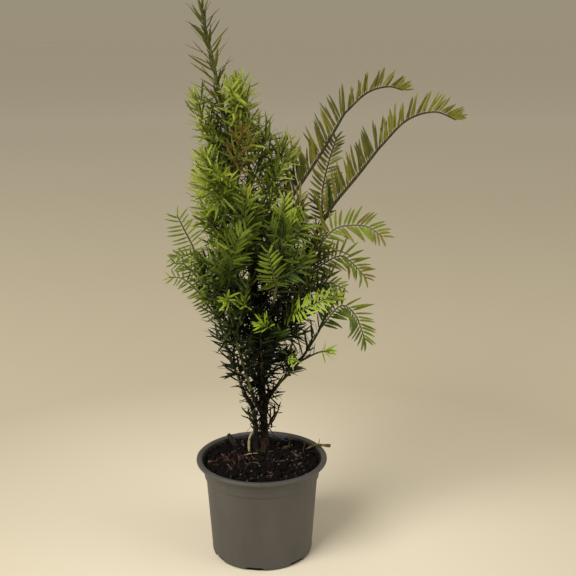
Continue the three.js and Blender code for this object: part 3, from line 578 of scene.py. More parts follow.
def scatter_tree():
    """Scatters a thing over faces, each copy turned and sized at random."""
    tree, given = new_tree("scatter", Thing="Object", Spacing=0.002, Density=50000.0, Smallest=0.5,
                           Largest=2.0, Turn=3.14, Seed=1, Finish="Material")
    spread = fed(tree, "GeometryNodeDistributePointsOnFaces", {
        "Mesh": given["Geometry"], "Distance Min": given["Spacing"],
        "Density Max": given["Density"], "Seed": given["Seed"]}, distribute_method="POISSON")
    thing = fed(tree, "GeometryNodeObjectInfo", {"Object": given["Thing"]})
    size = fed(tree, "FunctionNodeRandomValue", {
        "Min": given["Smallest"], "Max": given["Largest"], "Seed": given["Seed"]}, data_type="FLOAT")
    most = fed(tree, "ShaderNodeCombineXYZ", {axis: given["Turn"] for axis in "XYZ"})
    least = fed(tree, "ShaderNodeVectorMath", {"Vector": most, "Scale": -1.0}, operation="SCALE")
    tilt = fed(tree, "FunctionNodeRandomValue", {"Min": least, "Max": most, "Seed": given["Seed"]},
               data_type="FLOAT_VECTOR")
    turn = fed(tree, "FunctionNodeRotateRotation", {
        "Rotation": spread.outputs["Rotation"], "Rotate By": tilt}, rotation_space="LOCAL")
    copies = fed(tree, "GeometryNodeInstanceOnPoints", {
        "Points": spread, "Instance": thing.outputs["Geometry"], "Rotation": turn,
        "Scale": size.outputs["Value"]})
    return close_tree(tree, copies, given["Finish"])


scatter = scatter_tree()

# %% Where the litter lies
BED_STEP = 2.2
BED_EDGE = SOIL_RADIUS - 1.6
WALL_BAND = ((56.0, 91.0), (57.6, 96.6))
# Each place is a rule in millimetres from the middle of the pot.
PLACES = {
    "bed": lambda x, y: math.hypot(x - FOOT[0], y - FOOT[1]) > 7,
    "front_and_right": lambda x, y: x > 6 or y < -14,
    "left_heap": lambda x, y: math.hypot((x + 28) / 24, (y + 6) / 17) < 1,
    "beside_foot": lambda x, y: 5.5 < math.hypot(x - 4, y - 10) < 13 and y < 16,
}


def patch(inside):
    """The part of the compost's surface where `inside(x, y)` is true, as open faces to scatter on."""
    ticks = np.arange(-SOIL_RADIUS, SOIL_RADIUS + BED_STEP, BED_STEP)
    n = len(ticks)
    faces = []
    for i, j in np.ndindex(n - 1, n - 1):
        x, y = ticks[i] + BED_STEP / 2, ticks[j] + BED_STEP / 2
        if math.hypot(x, y) < BED_EDGE and inside(x, y):
            k = i * n + j
            faces.append((k, k + n, k + n + 1, k + 1))
    return mesh_of(([(x, y, ground(x, y)) for x in ticks for y in ticks], faces))


def wall_band(sides=90):
    """A band of the pot's inner wall just above the compost, to scatter crumbs on."""
    points = [(radius * math.cos(angle), radius * math.sin(angle), height)
              for angle in around(sides) for radius, height in WALL_BAND]
    return mesh_of((points, [(2 * i, 2 * i + 1, 2 * j + 1, 2 * j) for i, j in neighbours(sides)]))


beds = {name: patch(inside) for name, inside in PLACES.items()} | {"wall": wall_band()}
print({name: len(bed.polygons) for name, bed in beds.items()}, "faces to scatter on")

# %% Crumbs, bark, chips, grit and moss
def scattered(name, bed, thing, material, slot, **values):
    """One joined piece of many small things on one of the beds."""
    mesh = grown(beds[bed], scatter, Thing=thing, Finish=material, **values)
    bpy.data.objects.remove(thing)
    finished(name, mesh, material, smooth=False)


bark_tones = clouded("bark_crumbs", [(0.3, "160d09"), (0.5, "39241c"), (0.7, "7b5a4c")], 0.85, 0.2, 150)
wet_tones = clouded("wet_chips", [(0.3, "120d0a"), (0.55, "2c2520"), (0.7, "4d453d")], 0.38, 0.5, 220)
grit_tones = clouded("grit_pale", [(0.35, "55524d"), (0.6, "918d86")], 0.8)
moss_tones = clouded("moss_green", [(0.35, "141d0c"), (0.6, "2b3a16")], 0.95)

scattered("compost_crumbs", "bed", lump((1.3, 1.0, 0.8), 0.9, 4), compost_finish,
          "compost", Spacing=0.0016, Density=240000.0, Smallest=0.7, Largest=2.6, Seed=3)
scattered("wall_crumbs", "wall", lump((1.3, 1.0, 0.8), 0.9, 5), compost_finish,
          "compost", Spacing=0.0012, Density=420000.0, Smallest=0.8, Largest=2.8, Seed=4)
scattered("compost_lumps", "bed", lump((1.3, 1.0, 0.8), 1.1, 31, 2), compost_finish,
          "compost", Spacing=0.0045, Density=34000.0, Smallest=2.6, Largest=7.0, Seed=8)
scattered("bark_flakes", "bed", lump((3.6, 1.3, 0.6), 0.8, 9), bark_tones,
          "litter", Spacing=0.008, Density=11000.0, Smallest=0.6, Largest=2.2, Turn=0.9, Seed=12)
scattered("bark_heap", "left_heap", lump((4.2, 1.3, 0.7), 0.9, 2), bark_tones,
          "litter", Spacing=0.0028, Density=110000.0, Smallest=0.7, Largest=2.6, Turn=1.5, Seed=21)
scattered("wet_chips", "front_and_right", lump((2.2, 1.3, 0.5), 0.8, 14), wet_tones,
          "litter", Spacing=0.005, Density=24000.0, Smallest=1.2, Largest=3.4, Turn=1.0, Seed=17)
scattered("grit", "bed", lump((1.4, 1.0, 0.7), 0.6, 6), grit_tones, None,
          Spacing=0.009, Density=6500.0, Smallest=0.5, Largest=1.8, Seed=5)
scattered("moss", "beside_foot", lump((0.7, 0.7, 2.0), 0.9, 8), moss_tones, None,
          Spacing=0.0013, Density=400000.0, Smallest=0.6, Largest=1.4, Turn=0.9, Seed=7)

# %% [markdown]
# ## Curves with a rule
#
# Everything that grows here is a smooth curve through a few points, walked in even steps. The
# rule that places side twigs uses a small generator of repeatable numbers, seeded with the name of
# the mass, so a mass always branches in the same way.


# %% Walking along a line
def walked(line):
    """How far along the line each of its points lies."""
    return np.concatenate([[0], np.cumsum(np.linalg.norm(np.diff(line, axis=0), axis=1))])


def between(where, known, values):
    """Points or directions at one or many places, from those at the known places."""
    return np.array([np.interp(where, known, values[:, k]) for k in range(3)]).T


def spread_over(count, values):
    """Numbers spread evenly over a count of points."""
    return np.interp(np.linspace(0, 1, count), np.linspace(0, 1, len(values)), values)


def smooth_line(points, step):
    """Points about `step` apart on a smooth curve through all the given points."""
    points = np.asarray(points, float)
    padded = np.vstack([2 * points[0] - points[1], points, 2 * points[-1] - points[-2]])
    t = np.linspace(0, 1, 60, endpoint=False)[:, None]
    fine = []
    for a, b, c, d in zip(padded, padded[1:], padded[2:], padded[3:]):
        fine.append(((2 * b) + (c - a) * t + (2 * a - 5 * b + 4 * c - d) * t ** 2
                     + (3 * b - a - 3 * c + d) * t ** 3) / 2)
    fine = np.vstack(fine + [points[-1:]])
    ways = walked(fine)
    return between(np.linspace(0, ways[-1], max(2, round(ways[-1] / step)) + 1), ways, fine)


def unit(v):
    """The same direction, 1 long."""
    return v / np.linalg.norm(v)


def headings(line):
    """The direction of travel at each point of a line."""
    ahead = np.gradient(line, axis=0)
    return ahead / np.linalg.norm(ahead, axis=1)[:, None]


def length_of(line):
    """A line's length in millimetres."""
    return float(np.linalg.norm(np.diff(line, axis=0), axis=1).sum())


def carried_frames(line, start=(0, 1, 0)):
    """Two directions across a line at each point, carried along it without twist."""
    ahead = headings(line)
    across = np.array(start, float)
    sides, ups = [], []
    for direction in ahead:
        across = unit(across - direction * (across @ direction))
        sides.append(across)
        ups.append(np.cross(direction, across))
    return np.array(sides), np.array(ups)


def ring_across(point, side, up, angles, out):
    """A ring round a point of a line. `out` is its radius, the same all round or not."""
    directions = np.outer(np.cos(angles), side) + np.outer(np.sin(angles), up)
    return point + directions * np.reshape(out, (-1, 1))


print("a bend of two legs is walked in", len(smooth_line([(0, 0, 0), (9, 0, 0), (9, 9, 0)], 1.0)), "points")

# %% Repeatable numbers
MASK = 0xFFFFFFFF


def seeded(seed):
    """A repeatable source of numbers from 0 to 1."""
    state = seed & MASK

    def draw():
        nonlocal state
        state = (state + 0x6D2B79F5) & MASK
        t = ((state ^ (state >> 15)) * (state | 1)) & MASK
        t ^= (t + ((t ^ (t >> 7)) * (t | 61))) & MASK
        return ((t ^ (t >> 14)) & MASK) / 4294967296

    return draw


def seed_of(name):
    """A seed for a name, always the same for the same letters."""
    total = 7.0
    for letter in name:
        total = total * 31 + ord(letter)
    return int(total) & MASK


print("the leader's seed is", seed_of("leader"))


# %% [markdown]
# ## Bark
#
# The trunk is as thick as a pencil. A yew's bark is thin and reddish, and lifts in small scales
# between shallow cracks. A plain tube with a bump map would look like plastic pipe at its edge, so
# the scales and cracks are real relief: each ring of the skin is pushed in and out by noise that is
# stretched along the limb. Limbs swell where they leave the trunk, and the trunk flares at its foot.

# %% The limbs' sizes
TRUNK = {"path": [(3, 18, 95.3), (1, 17, 153), (-4, 12, 238), (-15, 9, 322), (-26, 5, 394)],
         "foot": 4.1, "tip": 1.7, "flare": 1.9, "flare_height": 7.3}
STEM_LEFT = {"path": [(-5.5, 18.5, 95.3), (-8, 12, 142), (-18, 6, 165)],
             "foot": 3.2, "tip": 1.9, "flare": 1.0, "flare_height": 4.5}
BOUGHS = {
    "bough_left_inner": (134, [(-5, 4, 154), (-10, -6, 172)], 2.2, 1.6),
    "bough_right_low": (146, [(9, 11, 161), (17, 6, 174)], 2.3, 1.7),
    "bough_front_low": (166, [(1, 1, 184), (1, -10, 196)], 2.0, 1.6),
    "bough_back_left": (156, [(-9, 26, 178), (-16, 33, 192)], 2.0, 1.6),
    "bough_back_right": (176, [(8, 24, 192), (14, 32, 206)], 2.0, 1.6),
    "bough_right_mid": (186, [(9, 8, 209), (18, 2, 230)], 2.2, 1.6),
    "bough_arch_low": (212, [(23, 15, 264), (45, 11, 308), (57, 6, 332)], 2.4, 1.7),
    "bough_front_mid": (222, [(6, -10, 246), (13, -26, 266)], 2.0, 1.6),
    "bough_back_mid": (232, [(-5, 28, 262), (-5, 36, 280)], 2.0, 1.6),
    "bough_arch_up": (246, [(9, 15, 297), (23, 12, 349)], 2.2, 1.6),
}
TAPER_POWER = 0.8
BARK_STEP = 1.1
print("trunk", 2 * (TRUNK["foot"] + TRUNK["flare"]), "mm across at its foot, and", len(BOUGHS), "boughs")


# %% Lines and thicknesses of the limbs
def limb(path, foot, tip, flare=0.0, flare_height=1.0):
    """A limb's line, and its thickness along it: an even taper, and a flare at the foot of a stem."""
    line = smooth_line(path, BARK_STEP)
    away = np.linalg.norm(line - line[0], axis=1)
    taper = (away / away[-1]) ** TAPER_POWER
    flares = flare * np.exp(-(line[:, 2] - line[0, 2]) / flare_height)
    return {"line": line, "radii": foot + (tip - foot) * taper + flares}


limbs = {"trunk": limb(**TRUNK), "stem_left": limb(**STEM_LEFT)}
trunk_line = limbs["trunk"]["line"]


def trunk_at(height):
    """The middle of the trunk at a height."""
    return between(height, trunk_line[:, 2], trunk_line)


for name, (at, path, foot, tip) in BOUGHS.items():
    limbs[name] = limb([trunk_at(at), *path], foot, tip)
print(len(limbs), "limbs, trunk", round(length_of(trunk_line)), "mm long")


# %% Bark relief
SCALES_ROUND, SCALES_ALONG = 0.55, 0.13
CRACKS_CLOSER = 2.1
CRACK_WIDTH = 0.16
SCALE_RELIEF, CRACK_RELIEF, GRAIN_RELIEF = 0.10, 0.16, 0.03
FLUTES = 5
FLUTE_REACH = 9.0
SWELL_FROM, SWELL_REACH = 4.0, 3.0
SUNK_WIDER = 1.08
COLLAR_MIDDLE = (-1.0, 18.0, 95.5)
COLLAR_SIZE = (8.6, 5.6, 5.0)


def bark_height(angle, along, radius, seed):
    """Relief in millimetres: scales that run up the limb, with cracks between them."""
    wide = radius * SCALES_ROUND
    spot = Vector((math.cos(angle) * wide, math.sin(angle) * wide, along * SCALES_ALONG))
    scale = noise.noise(spot + Vector((seed, 0, 0)))
    crack = abs(noise.noise(spot * CRACKS_CLOSER + Vector((0, seed, 5.0))))
    depth = CRACK_RELIEF * max(0.0, CRACK_WIDTH - crack) / CRACK_WIDTH
    grain = noise.noise(Vector((angle * 4.0, along * 0.5, seed)))
    return radius * (SCALE_RELIEF * scale - depth + GRAIN_RELIEF * grain)


def bark_skin(spec, sides, seed, lobes=0, swell=0.0, sink=0.0):
    """The skin of one limb. `lobes` flutes the foot, `swell` thickens it where it leaves the
    trunk, and `sink` carries it on below its first point."""
    line, radii = spec["line"], spec["radii"]
    if sink:
        line = np.vstack([line[0] - (0, 0, sink), line])
        radii = np.concatenate([[radii[0] * SUNK_WIDER], radii])
    angles = around(sides)
    rings = []
    for point, radius, side, up, way in zip(line, radii, *carried_frames(line), walked(line)):
        thick = radius + swell * math.exp(-max(0.0, way - SWELL_FROM) / SWELL_REACH)
        flutes = lobes * math.exp(-way / FLUTE_REACH) * np.cos(FLUTES * angles + 0.6)
        scales = [bark_height(angle, way, thick, seed) for angle in angles]
        rings.append(ring_across(point, side, up, angles, thick + scales + flutes))
    return surface(rings)


def root_collar(count=13):
    """The low woody knot that both stems rise from, half sunk in the compost."""
    angles = around(32)
    rings = []
    for k in range(count):
        high = math.pi * (k + 0.5) / count
        knots = [noise.noise(Vector((math.cos(a) * 2, math.sin(a) * 2, k * 0.3))) for a in angles]
        out = 1 + 0.16 * np.array(knots) + 0.08 * np.cos(FLUTES * angles + 0.8)
        ring = level_ring(out * math.sin(high), -math.cos(high), angles)
        rings.append(ring * COLLAR_SIZE + COLLAR_MIDDLE)
    return surface(rings)


print("the knot at the foot has", len(root_collar()[0]), "points")

# %% Bark finish and the woody limbs
def bark_finish(name, *stops):
    """Scales in one tone over darker cracks, with grain along the limb."""
    material = clouded(name, stops, 0.82, 0.25, 420, 5, 0.6, (1, 1, 0.28))
    relief(material, 0.5, 0.0006, 1300, 4, 0.55, (1, 1, 0.15))
    return material


red_bark = bark_finish("bark_red", (0.3, "120a07"), (0.5, "2c1912"), (0.66, "452b1f"), (0.8, "5e4739"))
dark_bark = bark_finish("bark_dark", (0.3, "0f0b08"), (0.52, "231913"), (0.72, "392c22"))
trunk_skin = bark_skin(limbs["trunk"], 30, 1.7, 0.5, sink=2.4)
finished("trunk_bark", mesh_of(trunk_skin, root_collar()), red_bark, ["trunk"])
stem_skin = bark_skin(limbs["stem_left"], 24, 6.2, 0.3, sink=2.4)
finished("stem_left_bark", mesh_of(stem_skin), dark_bark, ["stem_left"])
bough_skins = [bark_skin(limbs[name], 16, 10 + k, swell=0.9) for k, name in enumerate(BOUGHS)]
finished("bough_bark", mesh_of(*bough_skins), dark_bark, list(BOUGHS))

# %% [markdown]
# ## Litter that has a place of its own
#
# Some bits are large enough to know by sight: a chip of bark that stands up at the back, a dry
# stick that lies over the lip and three that stand beside it, a pale dead needle that leans on the
# stems and one that lies in front of them, and flat chips of bark. They use the same ring skin as
# the limbs, with few sides, so they stay angular.


# %% Chip, sticks and dead needles
def ribbon(path, widths, thick, step=1.0, start=(0, 1, 0)):
    """A flat blade along a curve. Its widths are spread evenly over its length."""
    line = smooth_line(path, step)
    rings = []
    for point, width, side, up in zip(line, spread_over(len(line), widths), *carried_frames(line, start)):
        w, h = width / 2, thick / 2 * min(1.0, width / max(widths) + 0.2)
        corners = [(w, 0), (w * 0.5, h), (-w * 0.5, h), (-w, 0), (-w * 0.5, -h), (w * 0.5, -h)]
        rings.append([point + side * u + up * v for u, v in corners])
    return surface(rings)


def rough_stick(path, radii, sides, seed):
    """A short broken limb with a rough skin."""
    line = smooth_line(path, 1.2)
    return bark_skin({"line": line, "radii": spread_over(len(line), radii)}, sides, seed)


chip = rough_stick([(-27, 38, 92), (-31, 42, 97), (-36, 46, 104)], [2.6, 3.4, 3.0, 2.0], 7, 3.3)
finished("bark_chip_upright", mesh_of(chip), dark_bark, ["bark_chip"], smooth=False)
sticks = [
    rough_stick([(44, 27.6, 94), (53, 24.3, 100.6), (59, 21.8, 102), (69, 18, 102.8)],
                [1.0, 1.3, 1.2, 1.5, 2.0], 9, 5.1),
    rough_stick([(57, 22.6, 101.5), (58, 24.5, 104.5), (58.6, 26, 107)], [0.6, 0.4, 0.25], 6, 2.2),
    rough_stick([(27, 24, 92), (27.5, 22, 104), (29.5, 21, 113)], [0.9, 0.7, 0.3], 7, 8.8),
    rough_stick([(41, 17, 91), (42.5, 16, 103), (44.5, 15, 112)], [0.6, 0.45, 0.2], 7, 4.4),
]
stick_tones = clouded("stick_olive", [(0.3, "2e2818"), (0.55, "5a5230"), (0.75, "7b7246")], 0.75, 0.2, 200)
finished("dry_sticks", mesh_of(*sticks), stick_tones, ["dry_stick"])

# Each chip has its place, the way it points in radians, its length and its width.
CHIPS = [
    (-33, -10, 0.3, 9, 4.0), (-22, -4, 1.9, 8, 3.4), (-38, 6, 2.6, 8, 3.0), (-14, -22, 0.9, 7, 2.6),
    (-27, 14, 0.1, 8, 3.2), (-30, -22, 2.2, 6, 2.4), (24, 22, 0.4, 10, 4.2), (33, 6, 2.8, 8, 3.4),
    (16, 30, 1.2, 7, 3.0), (38, -14, 0.6, 6, 2.6), (9, -34, 2.9, 7, 2.8), (28, -30, 1.5, 6, 2.4),
    (-44, -6, 1.2, 7, 3.0), (-20, 30, 2.0, 8, 3.0), (2, 40, 0.2, 8, 3.2), (42, 18, 1.7, 7, 2.8),
]
CHIP_TAPER = (0.6, 1, 0.85, 0.35)
CHIP_GAP, CHIP_RISE, CHIP_THICK = 0.9, 1.3, 1.3


def lying_chip(x, y, heading, length, width):
    """A broken flake of bark that lies on the compost, with one end a little raised."""
    path = []
    for k in range(3):
        px = x + (k - 1) * math.cos(heading) * length / 2
        py = y + (k - 1) * math.sin(heading) * length / 2
        path.append((px, py, ground(px, py) + CHIP_GAP + CHIP_RISE * k))
    return ribbon(path, [width * share for share in CHIP_TAPER], CHIP_THICK, start=(0, 0, 1))


chips = [lying_chip(*place_and_size) for place_and_size in CHIPS]
finished("bark_chips", mesh_of(*chips), bark_tones, smooth=False)

straw = clouded("needle_straw", [(0.3, "84764e"), (0.6, "b0a379")], 0.6, 0.35, 300)
leaning = ribbon([(-12, 8, 95), (-13.2, 8, 106), (-12.2, 8, 116), (-8.8, 8, 124)],
                 [1.3, 2.2, 2.6, 2.2, 0.4], 0.6, start=(1, 0, 0))
lying = ribbon([(-18, 3, 99.4), (-12, 1, 101.6), (-6, 2.5, 101.4), (-1, 5, 100.4)],
               [0.4, 1.5, 1.7, 1.3, 0.4], 0.5)
finished("dead_needles", mesh_of(leaning, lying), straw, ["dead_needle"])

# %% Root threads on the compost
THREADS = 16
THREAD_SEED = 41
THREAD_STEP = 3.4


def root_threads():
    """Pale threads that wander over the surface of the compost."""
    draw = seeded(THREAD_SEED)
    skins = []
    for _ in range(THREADS):
        angle, reach = 2 * math.pi * draw(), 12 + 36 * draw()
        x, y = reach * math.cos(angle), reach * math.sin(angle)
        heading = 2 * math.pi * draw()
        path = []
        for _ in range(5):
            path.append((x, y, ground(x, y) + 0.5 + 0.9 * draw()))
            heading += 1.6 * (draw() - 0.5)
            x += THREAD_STEP * math.cos(heading)
            y += THREAD_STEP * math.sin(heading)
        line = smooth_line(path, 1.1)
        along = zip(line, *carried_frames(line, (0, 0, 1)), np.linspace(0.24, 0.1, len(line)))
        skins.append(surface([ring_across(p, side, up, around(5), out) for p, side, up, out in along]))
    return skins


root_tones = clouded("root_pale", [(0.3, "6b5c44"), (0.6, "9c8a68")], 0.7, 0.2, 300)
finished("root_threads", mesh_of(*root_threads()), root_tones)

# %% [markdown]
# ## Masses of foliage
#
# The crown is thirty-four masses. Each one is a shoot with side twigs, and it starts at the tip of
# a limb, at the end of another shoot, or on the trunk at a height. The table gives the middle line
# of each stem, its tints, how its needles stand, how many side twigs the seeded rule gives it, and
# its side shoots: where on the stem each one leaves it, and the points that it passes through.
#
# Needles stand in eight ways. They go round the stem on upright shoots (`round`), lean out further
# on the strong `leader`, and stand straight out on `old` wood. They lie in two rows on side shoots
# (`flat`), with broad needles on a `frond` and narrow ones on a `comb`, and both rows turn up on
# the arching shoots (`upper`). On a `tuft`, a bud that has just opened, they crowd together.

# %% The masses
FRONT = (0, -1, 0.25)
SKYWARD = (-0.5, 0, 1)


def side_shoot(at, path, tone=None, needle=None, rank=None, face=FRONT):
    """A named side shoot. What it doesn't say, it takes from its mass."""
    return {"at": at, "path": path, "face": face, "rank": rank, "tone": tone, "needle": needle}


def mass(name, start, path, tone, rank="round", twigs=2, needle=23.0, face=FRONT, shoots=(),
         runs_on=False):
    """One mass: its stem's line and looks. `runs_on` is true where another mass carries it on."""
    return {"name": name, "from": start, "path": path, "rank": rank, "twigs": twigs, "tone": tone,
            "face": face, "shoots": shoots, "runs_on": runs_on, "needle": needle}


MASSES = [
    mass("leader", "trunk", [(-33, 3, 436), (-42, 2, 484), (-49, 1, 518), (-51, 0, 532)], "leader",
         "leader", 0, 29),
    mass("top_left", 378, [(-46, 9, 420), (-62, 11, 456)], "sunny", twigs=1),
    mass("top_right", 370, [(-13, -2, 418), (-18, -6, 472)], "sunny"),
    mass("shoulder_right", 346, [(-1, 12, 390), (7, 16, 430)], "sunny"),
    mass("shoulder_far_right", 312, [(9, 6, 370), (26, 9, 416)], "sunny", twigs=3),
    mass("tuft_gold", 384, [(-19, -18, 408), (-13, -34, 424)], "rosette", twigs=0),
    mass("star_front", 346, [(-29, -20, 370), (-37, -42, 388)], "bright"),
    mass("left_high", 334, [(-40, 3, 366), (-50, 0, 400)], "sunny"),
    mass("left_mid", 292, [(-34, 12, 320), (-49, 13, 352)], "sunny"),
    mass("left_outer", "stem_left", [(-32, 0, 211), (-44, -3, 252), (-60, -9, 306)], "leafy", needle=20,
         shoots=[side_shoot(1.0, [(-64, -10, 318), (-70, -11, 331), (-77, -11, 346)], "spray", 19, "comb"),
                 side_shoot(0.7, [(-68, -10, 296), (-83, -11, 300)], "light", 15, "comb"),
                 side_shoot(0.55, [(-60, -8, 272), (-73, -12, 285), (-86, -14, 287)], "light", 14, "comb"),
                 side_shoot(0.62, [(-64, 6, 286), (-78, 14, 292)], "light", 13, "round")]),
    mass("left_inner", "bough_left_inner", [(-22, -16, 221), (-30, -22, 266), (-40, -26, 322)], "leafy",
         shoots=[side_shoot(0.38, [(-16, -38, 262), (-13, -50, 276)], face=(0, -0.6, 1)),
                 side_shoot(0.66, [(-24, -42, 312), (-16, -50, 336)])]),
    mass("centre_left", 256, [(-26, -6, 290), (-30, -10, 334)], "sunny"),
    mass("inner_mid", 196, [(-7, -6, 228), (-9, -20, 264)], "deep", twigs=1, needle=20),
    mass("front_low", "bough_front_low", [(1, -26, 220), (0, -38, 254)], "shade", "flat",
         shoots=[side_shoot(0.16, [(18, -24, 204), (30, -30, 212)], face=(0, -0.5, 1))]),
    mass("front_mid", "bough_front_mid", [(20, -40, 314), (23, -40, 366)], "leafy", "flat", 4, 22,
         shoots=[side_shoot(0.16, [(14, -48, 294), (11, -49, 306), (8, -48, 320)], "spray", 17)]),
    mass("front_high", 288, [(-13, -20, 326), (-11, -32, 372)], "leafy", "flat", 3, 22),
    mass("right_low", "bough_right_low", [(36, 0, 197), (54, -4, 227), (64, -7, 250)], "shade", twigs=1,
         shoots=[side_shoot(0.86, [(76, -14, 259), (90, -14, 250), (100, -14, 225)], "spray", 22),
                 side_shoot(0.36, [(55, -3, 209), (68, -5, 212)], "shade", 15, "round")]),
    mass("right_inner", 204, [(20, -4, 238), (24, -16, 276)], "deep", needle=20,
         shoots=[side_shoot(0.6, [(36, -24, 256), (50, -27, 264), (64, -27, 270), (76, -24, 271)],
                            "fresh", 16, face=(0, -0.8, 0.6))]),
    mass("right_mid", "bough_right_mid", [(36, -6, 264), (48, -10, 300), (58, -14, 330)], "mossy", twigs=1,
         shoots=[side_shoot(0.84, [(68, -19, 333), (83, -22, 338), (99, -23, 337), (113, -24, 328)],
                            "amber", 21),
                 side_shoot(0.62, [(73, -5, 305), (86, -2, 299), (101, -2, 283)], "amber", 20),
                 side_shoot(0.72, [(70, -12, 312), (84, -12, 308)], "spray", 16, "round"),
                 side_shoot(0.42, [(60, -15, 282), (78, -20, 278)], "bright", 14)]),
    mass("right_high", 280, [(14, -4, 322), (38, -12, 364)], "mossy", "flat", 3),
    mass("arch_low_rise", "bough_arch_low", [(69, 3, 353), (91, 0, 381), (111, -3, 408)], "olive",
         "upper", 0, 28, SKYWARD, runs_on=True,
         shoots=[side_shoot(0.06, [(59, 12, 366), (65, 12, 394), (72, 12, 416)], "olive", 17)]),
    mass("arch_low_tip", "arch_low_rise", [(134, -6, 432), (159, -8, 440), (179, -10, 433)], "golden",
         "upper", 0, 23, SKYWARD),
    mass("arch_up_rise", "bough_arch_up", [(42, 10, 377), (58, 8, 402), (79, 5, 439)], "olive",
         "upper", 0, 28, SKYWARD, runs_on=True),
    mass("arch_up_tip", "arch_up_rise", [(98, 4, 456), (117, 2, 462), (131, 0, 459)], "golden",
         "upper", 0, 21, SKYWARD),
    mass("back_left_low", "bough_back_left", [(-31, 44, 230), (-40, 46, 272)], "deep"),
    mass("back_right_low", "bough_back_right", [(30, 42, 238), (42, 44, 278)], "deep"),
    mass("back_mid", "bough_back_mid", [(-8, 48, 320), (-12, 48, 364)], "leafy"),
    mass("back_right_mid", 241, [(20, 33, 292), (38, 38, 334)], "shade"),
    mass("back_left_mid", 222, [(-26, 28, 270), (-46, 36, 316)], "shade",
         shoots=[side_shoot(0.4, [(-58, 44, 284), (-76, 50, 294), (-90, 52, 291)], "spray", 14)]),
    mass("back_right_high", 302, [(8, 30, 346), (14, 36, 388)], "leafy"),
    mass("back_left_high", 324, [(-36, 30, 362), (-42, 34, 406)], "leafy"),
    mass("back_top", 362, [(-24, 22, 404), (-24, 24, 442)], "sunny", twigs=1),
    mass("collar_left", 118, [(-8, 3, 132), (-12, -4, 146)], "shade", twigs=0, needle=19),
    mass("collar_right", 122, [(11, 8, 134), (17, 3, 148)], "shade", twigs=0, needle=19),
]
print(len(MASSES), "masses of foliage")

# %% Stems and side shoots
RUN = 4.8
TWIG_STEP = 1.6
STEM_RADII = (1.45, 0.55)
STRONG_RADII = {"leader": (2.6, 1.3), "arch_low_rise": (1.7, 1.2), "arch_low_tip": (1.2, 0.6),
                "arch_up_rise": (1.7, 1.1), "arch_up_tip": (1.1, 0.6)}
SHOOT_RADIUS = 1.0
FROND_RADIUS = 0.8
TIP_RADIUS = 0.55
SPRIG_TIP = TIP_RADIUS * 0.9
MASS_SINK = 1.5


def shoot(path, foot, tip, rank, face, spec, order):
    """A twig with needles. `order` is 0 for a stem, 1 for its side shoots and first twigs, 2 for
    sprigs, 3 for tufts and 4 for limbs."""
    line = smooth_line(path, TWIG_STEP)
    return {"coarse": smooth_line(path, RUN), "line": line,
            "radii": np.linspace(foot, tip, len(line)), "rank": rank, "face": np.array(face, float),
            "mass": spec["name"], "tone": spec["tone"], "needle": spec["needle"], "order": order,
            "runs_on": order == 0 and spec["runs_on"]}


def start_of(spec, ends):
    """Where a mass begins: on the trunk's middle line, or just inside its bearer's tip."""
    if not isinstance(spec["from"], str):
        return trunk_at(spec["from"])
    line = ends[spec["from"]]
    return line[-1] - MASS_SINK * unit(line[-1] - line[-2])


def side_branch(side, stem, spec):
    """A named side shoot. It is a frond where it has a tint of its own, and flat elsewhere."""
    rank = side["rank"] or ("frond" if side["tone"] else "flat")
    foot = FROND_RADIUS if rank == "frond" else SHOOT_RADIUS
    root = stem["coarse"][round(side["at"] * (len(stem["coarse"]) - 1))]
    own = {key: side[key] or spec[key] for key in ("tone", "needle")}
    return shoot([root, *side["path"]], foot, TIP_RADIUS, rank, side["face"], {**spec, **own}, 1)


ends = {name: spec["line"] for name, spec in limbs.items()}
shoots = []
for spec in MASSES:
    radii = STRONG_RADII.get(spec["name"], STEM_RADII)
    stem = shoot([start_of(spec, ends), *spec["path"]], *radii, spec["rank"], spec["face"], spec, 0)
    ends[spec["name"]] = stem["line"]
    shoots += [stem] + [side_branch(side, stem, spec) for side in spec["shoots"]]
print(len(shoots), "stems and side shoots,", round(sum(length_of(s["line"]) for s in shoots)), "mm")

# %% [markdown]
# ## Side twigs
#
# Side twigs leave their shoot at an angle, turn up toward its tip, and grow shorter toward it.
# First come the twigs that the frame has too, with the same seeds. Then the same rule is used
# again on every limb, and on every shoot with `round`, `flat` or `leader` needles, for shorter and
# closer sprigs. The arching shoots, fronds and combs stay plain.
#
# A twig is kept if its tip is nearer to its own mass than to any other. The sprigs also have to be
# clear of the limbs, and inside the reach of the whole plant. A short list of left and right edges
# by height stands for the outline that a gardener clips to: the first twigs are cut back to it, and
# sprigs that would pass it are left out.

# %% The twig rule
TWIGS_FROM = 0.2
TWIGS_OVER = 0.6
TWIG_REACH = 0.36
TWIG_LEAST = 8.0
TWIG_SHORTENING = 0.45
TWIG_SPREAD = {"flat": 0.6}
ROUND_SPREAD = 2.4
CUT_BACK = 0.8
CUT_INSIDE = 6.0
# The middle and the tip of a twig, ahead along its parent and out from it, as shares of its reach.
MIDDLE_AHEAD, MIDDLE_OUT = 0.3, 0.34
TIP_AHEAD, TIP_OUT = 0.8, 0.6
reach_low = np.array(cad_low) / MM
reach_high = np.array(cad_high) / MM
limb_points = np.vstack([spec["line"] for spec in limbs.values()])
limb_thick = np.concatenate([spec["radii"] for spec in limbs.values()])
known_points = np.vstack([s["coarse"] for s in shoots])
known_mass = np.concatenate([[s["mass"]] * len(s["coarse"]) for s in shoots])
CROWN_OUTLINE = [
    (130, -11, 15), (160, -20, 21), (180, -32, 31), (200, -42, 45), (220, -50, 50), (240, -57, 56),
    (260, -60, 72), (280, -71, 76), (300, -90, 72), (320, -90, 68), (335, -80, 61), (358, -63, 46),
    (390, -66, 42), (405, -63, 40), (423, -62, 30), (441, -74, 17), (464, -75, 2), (480, -62, -10),
]


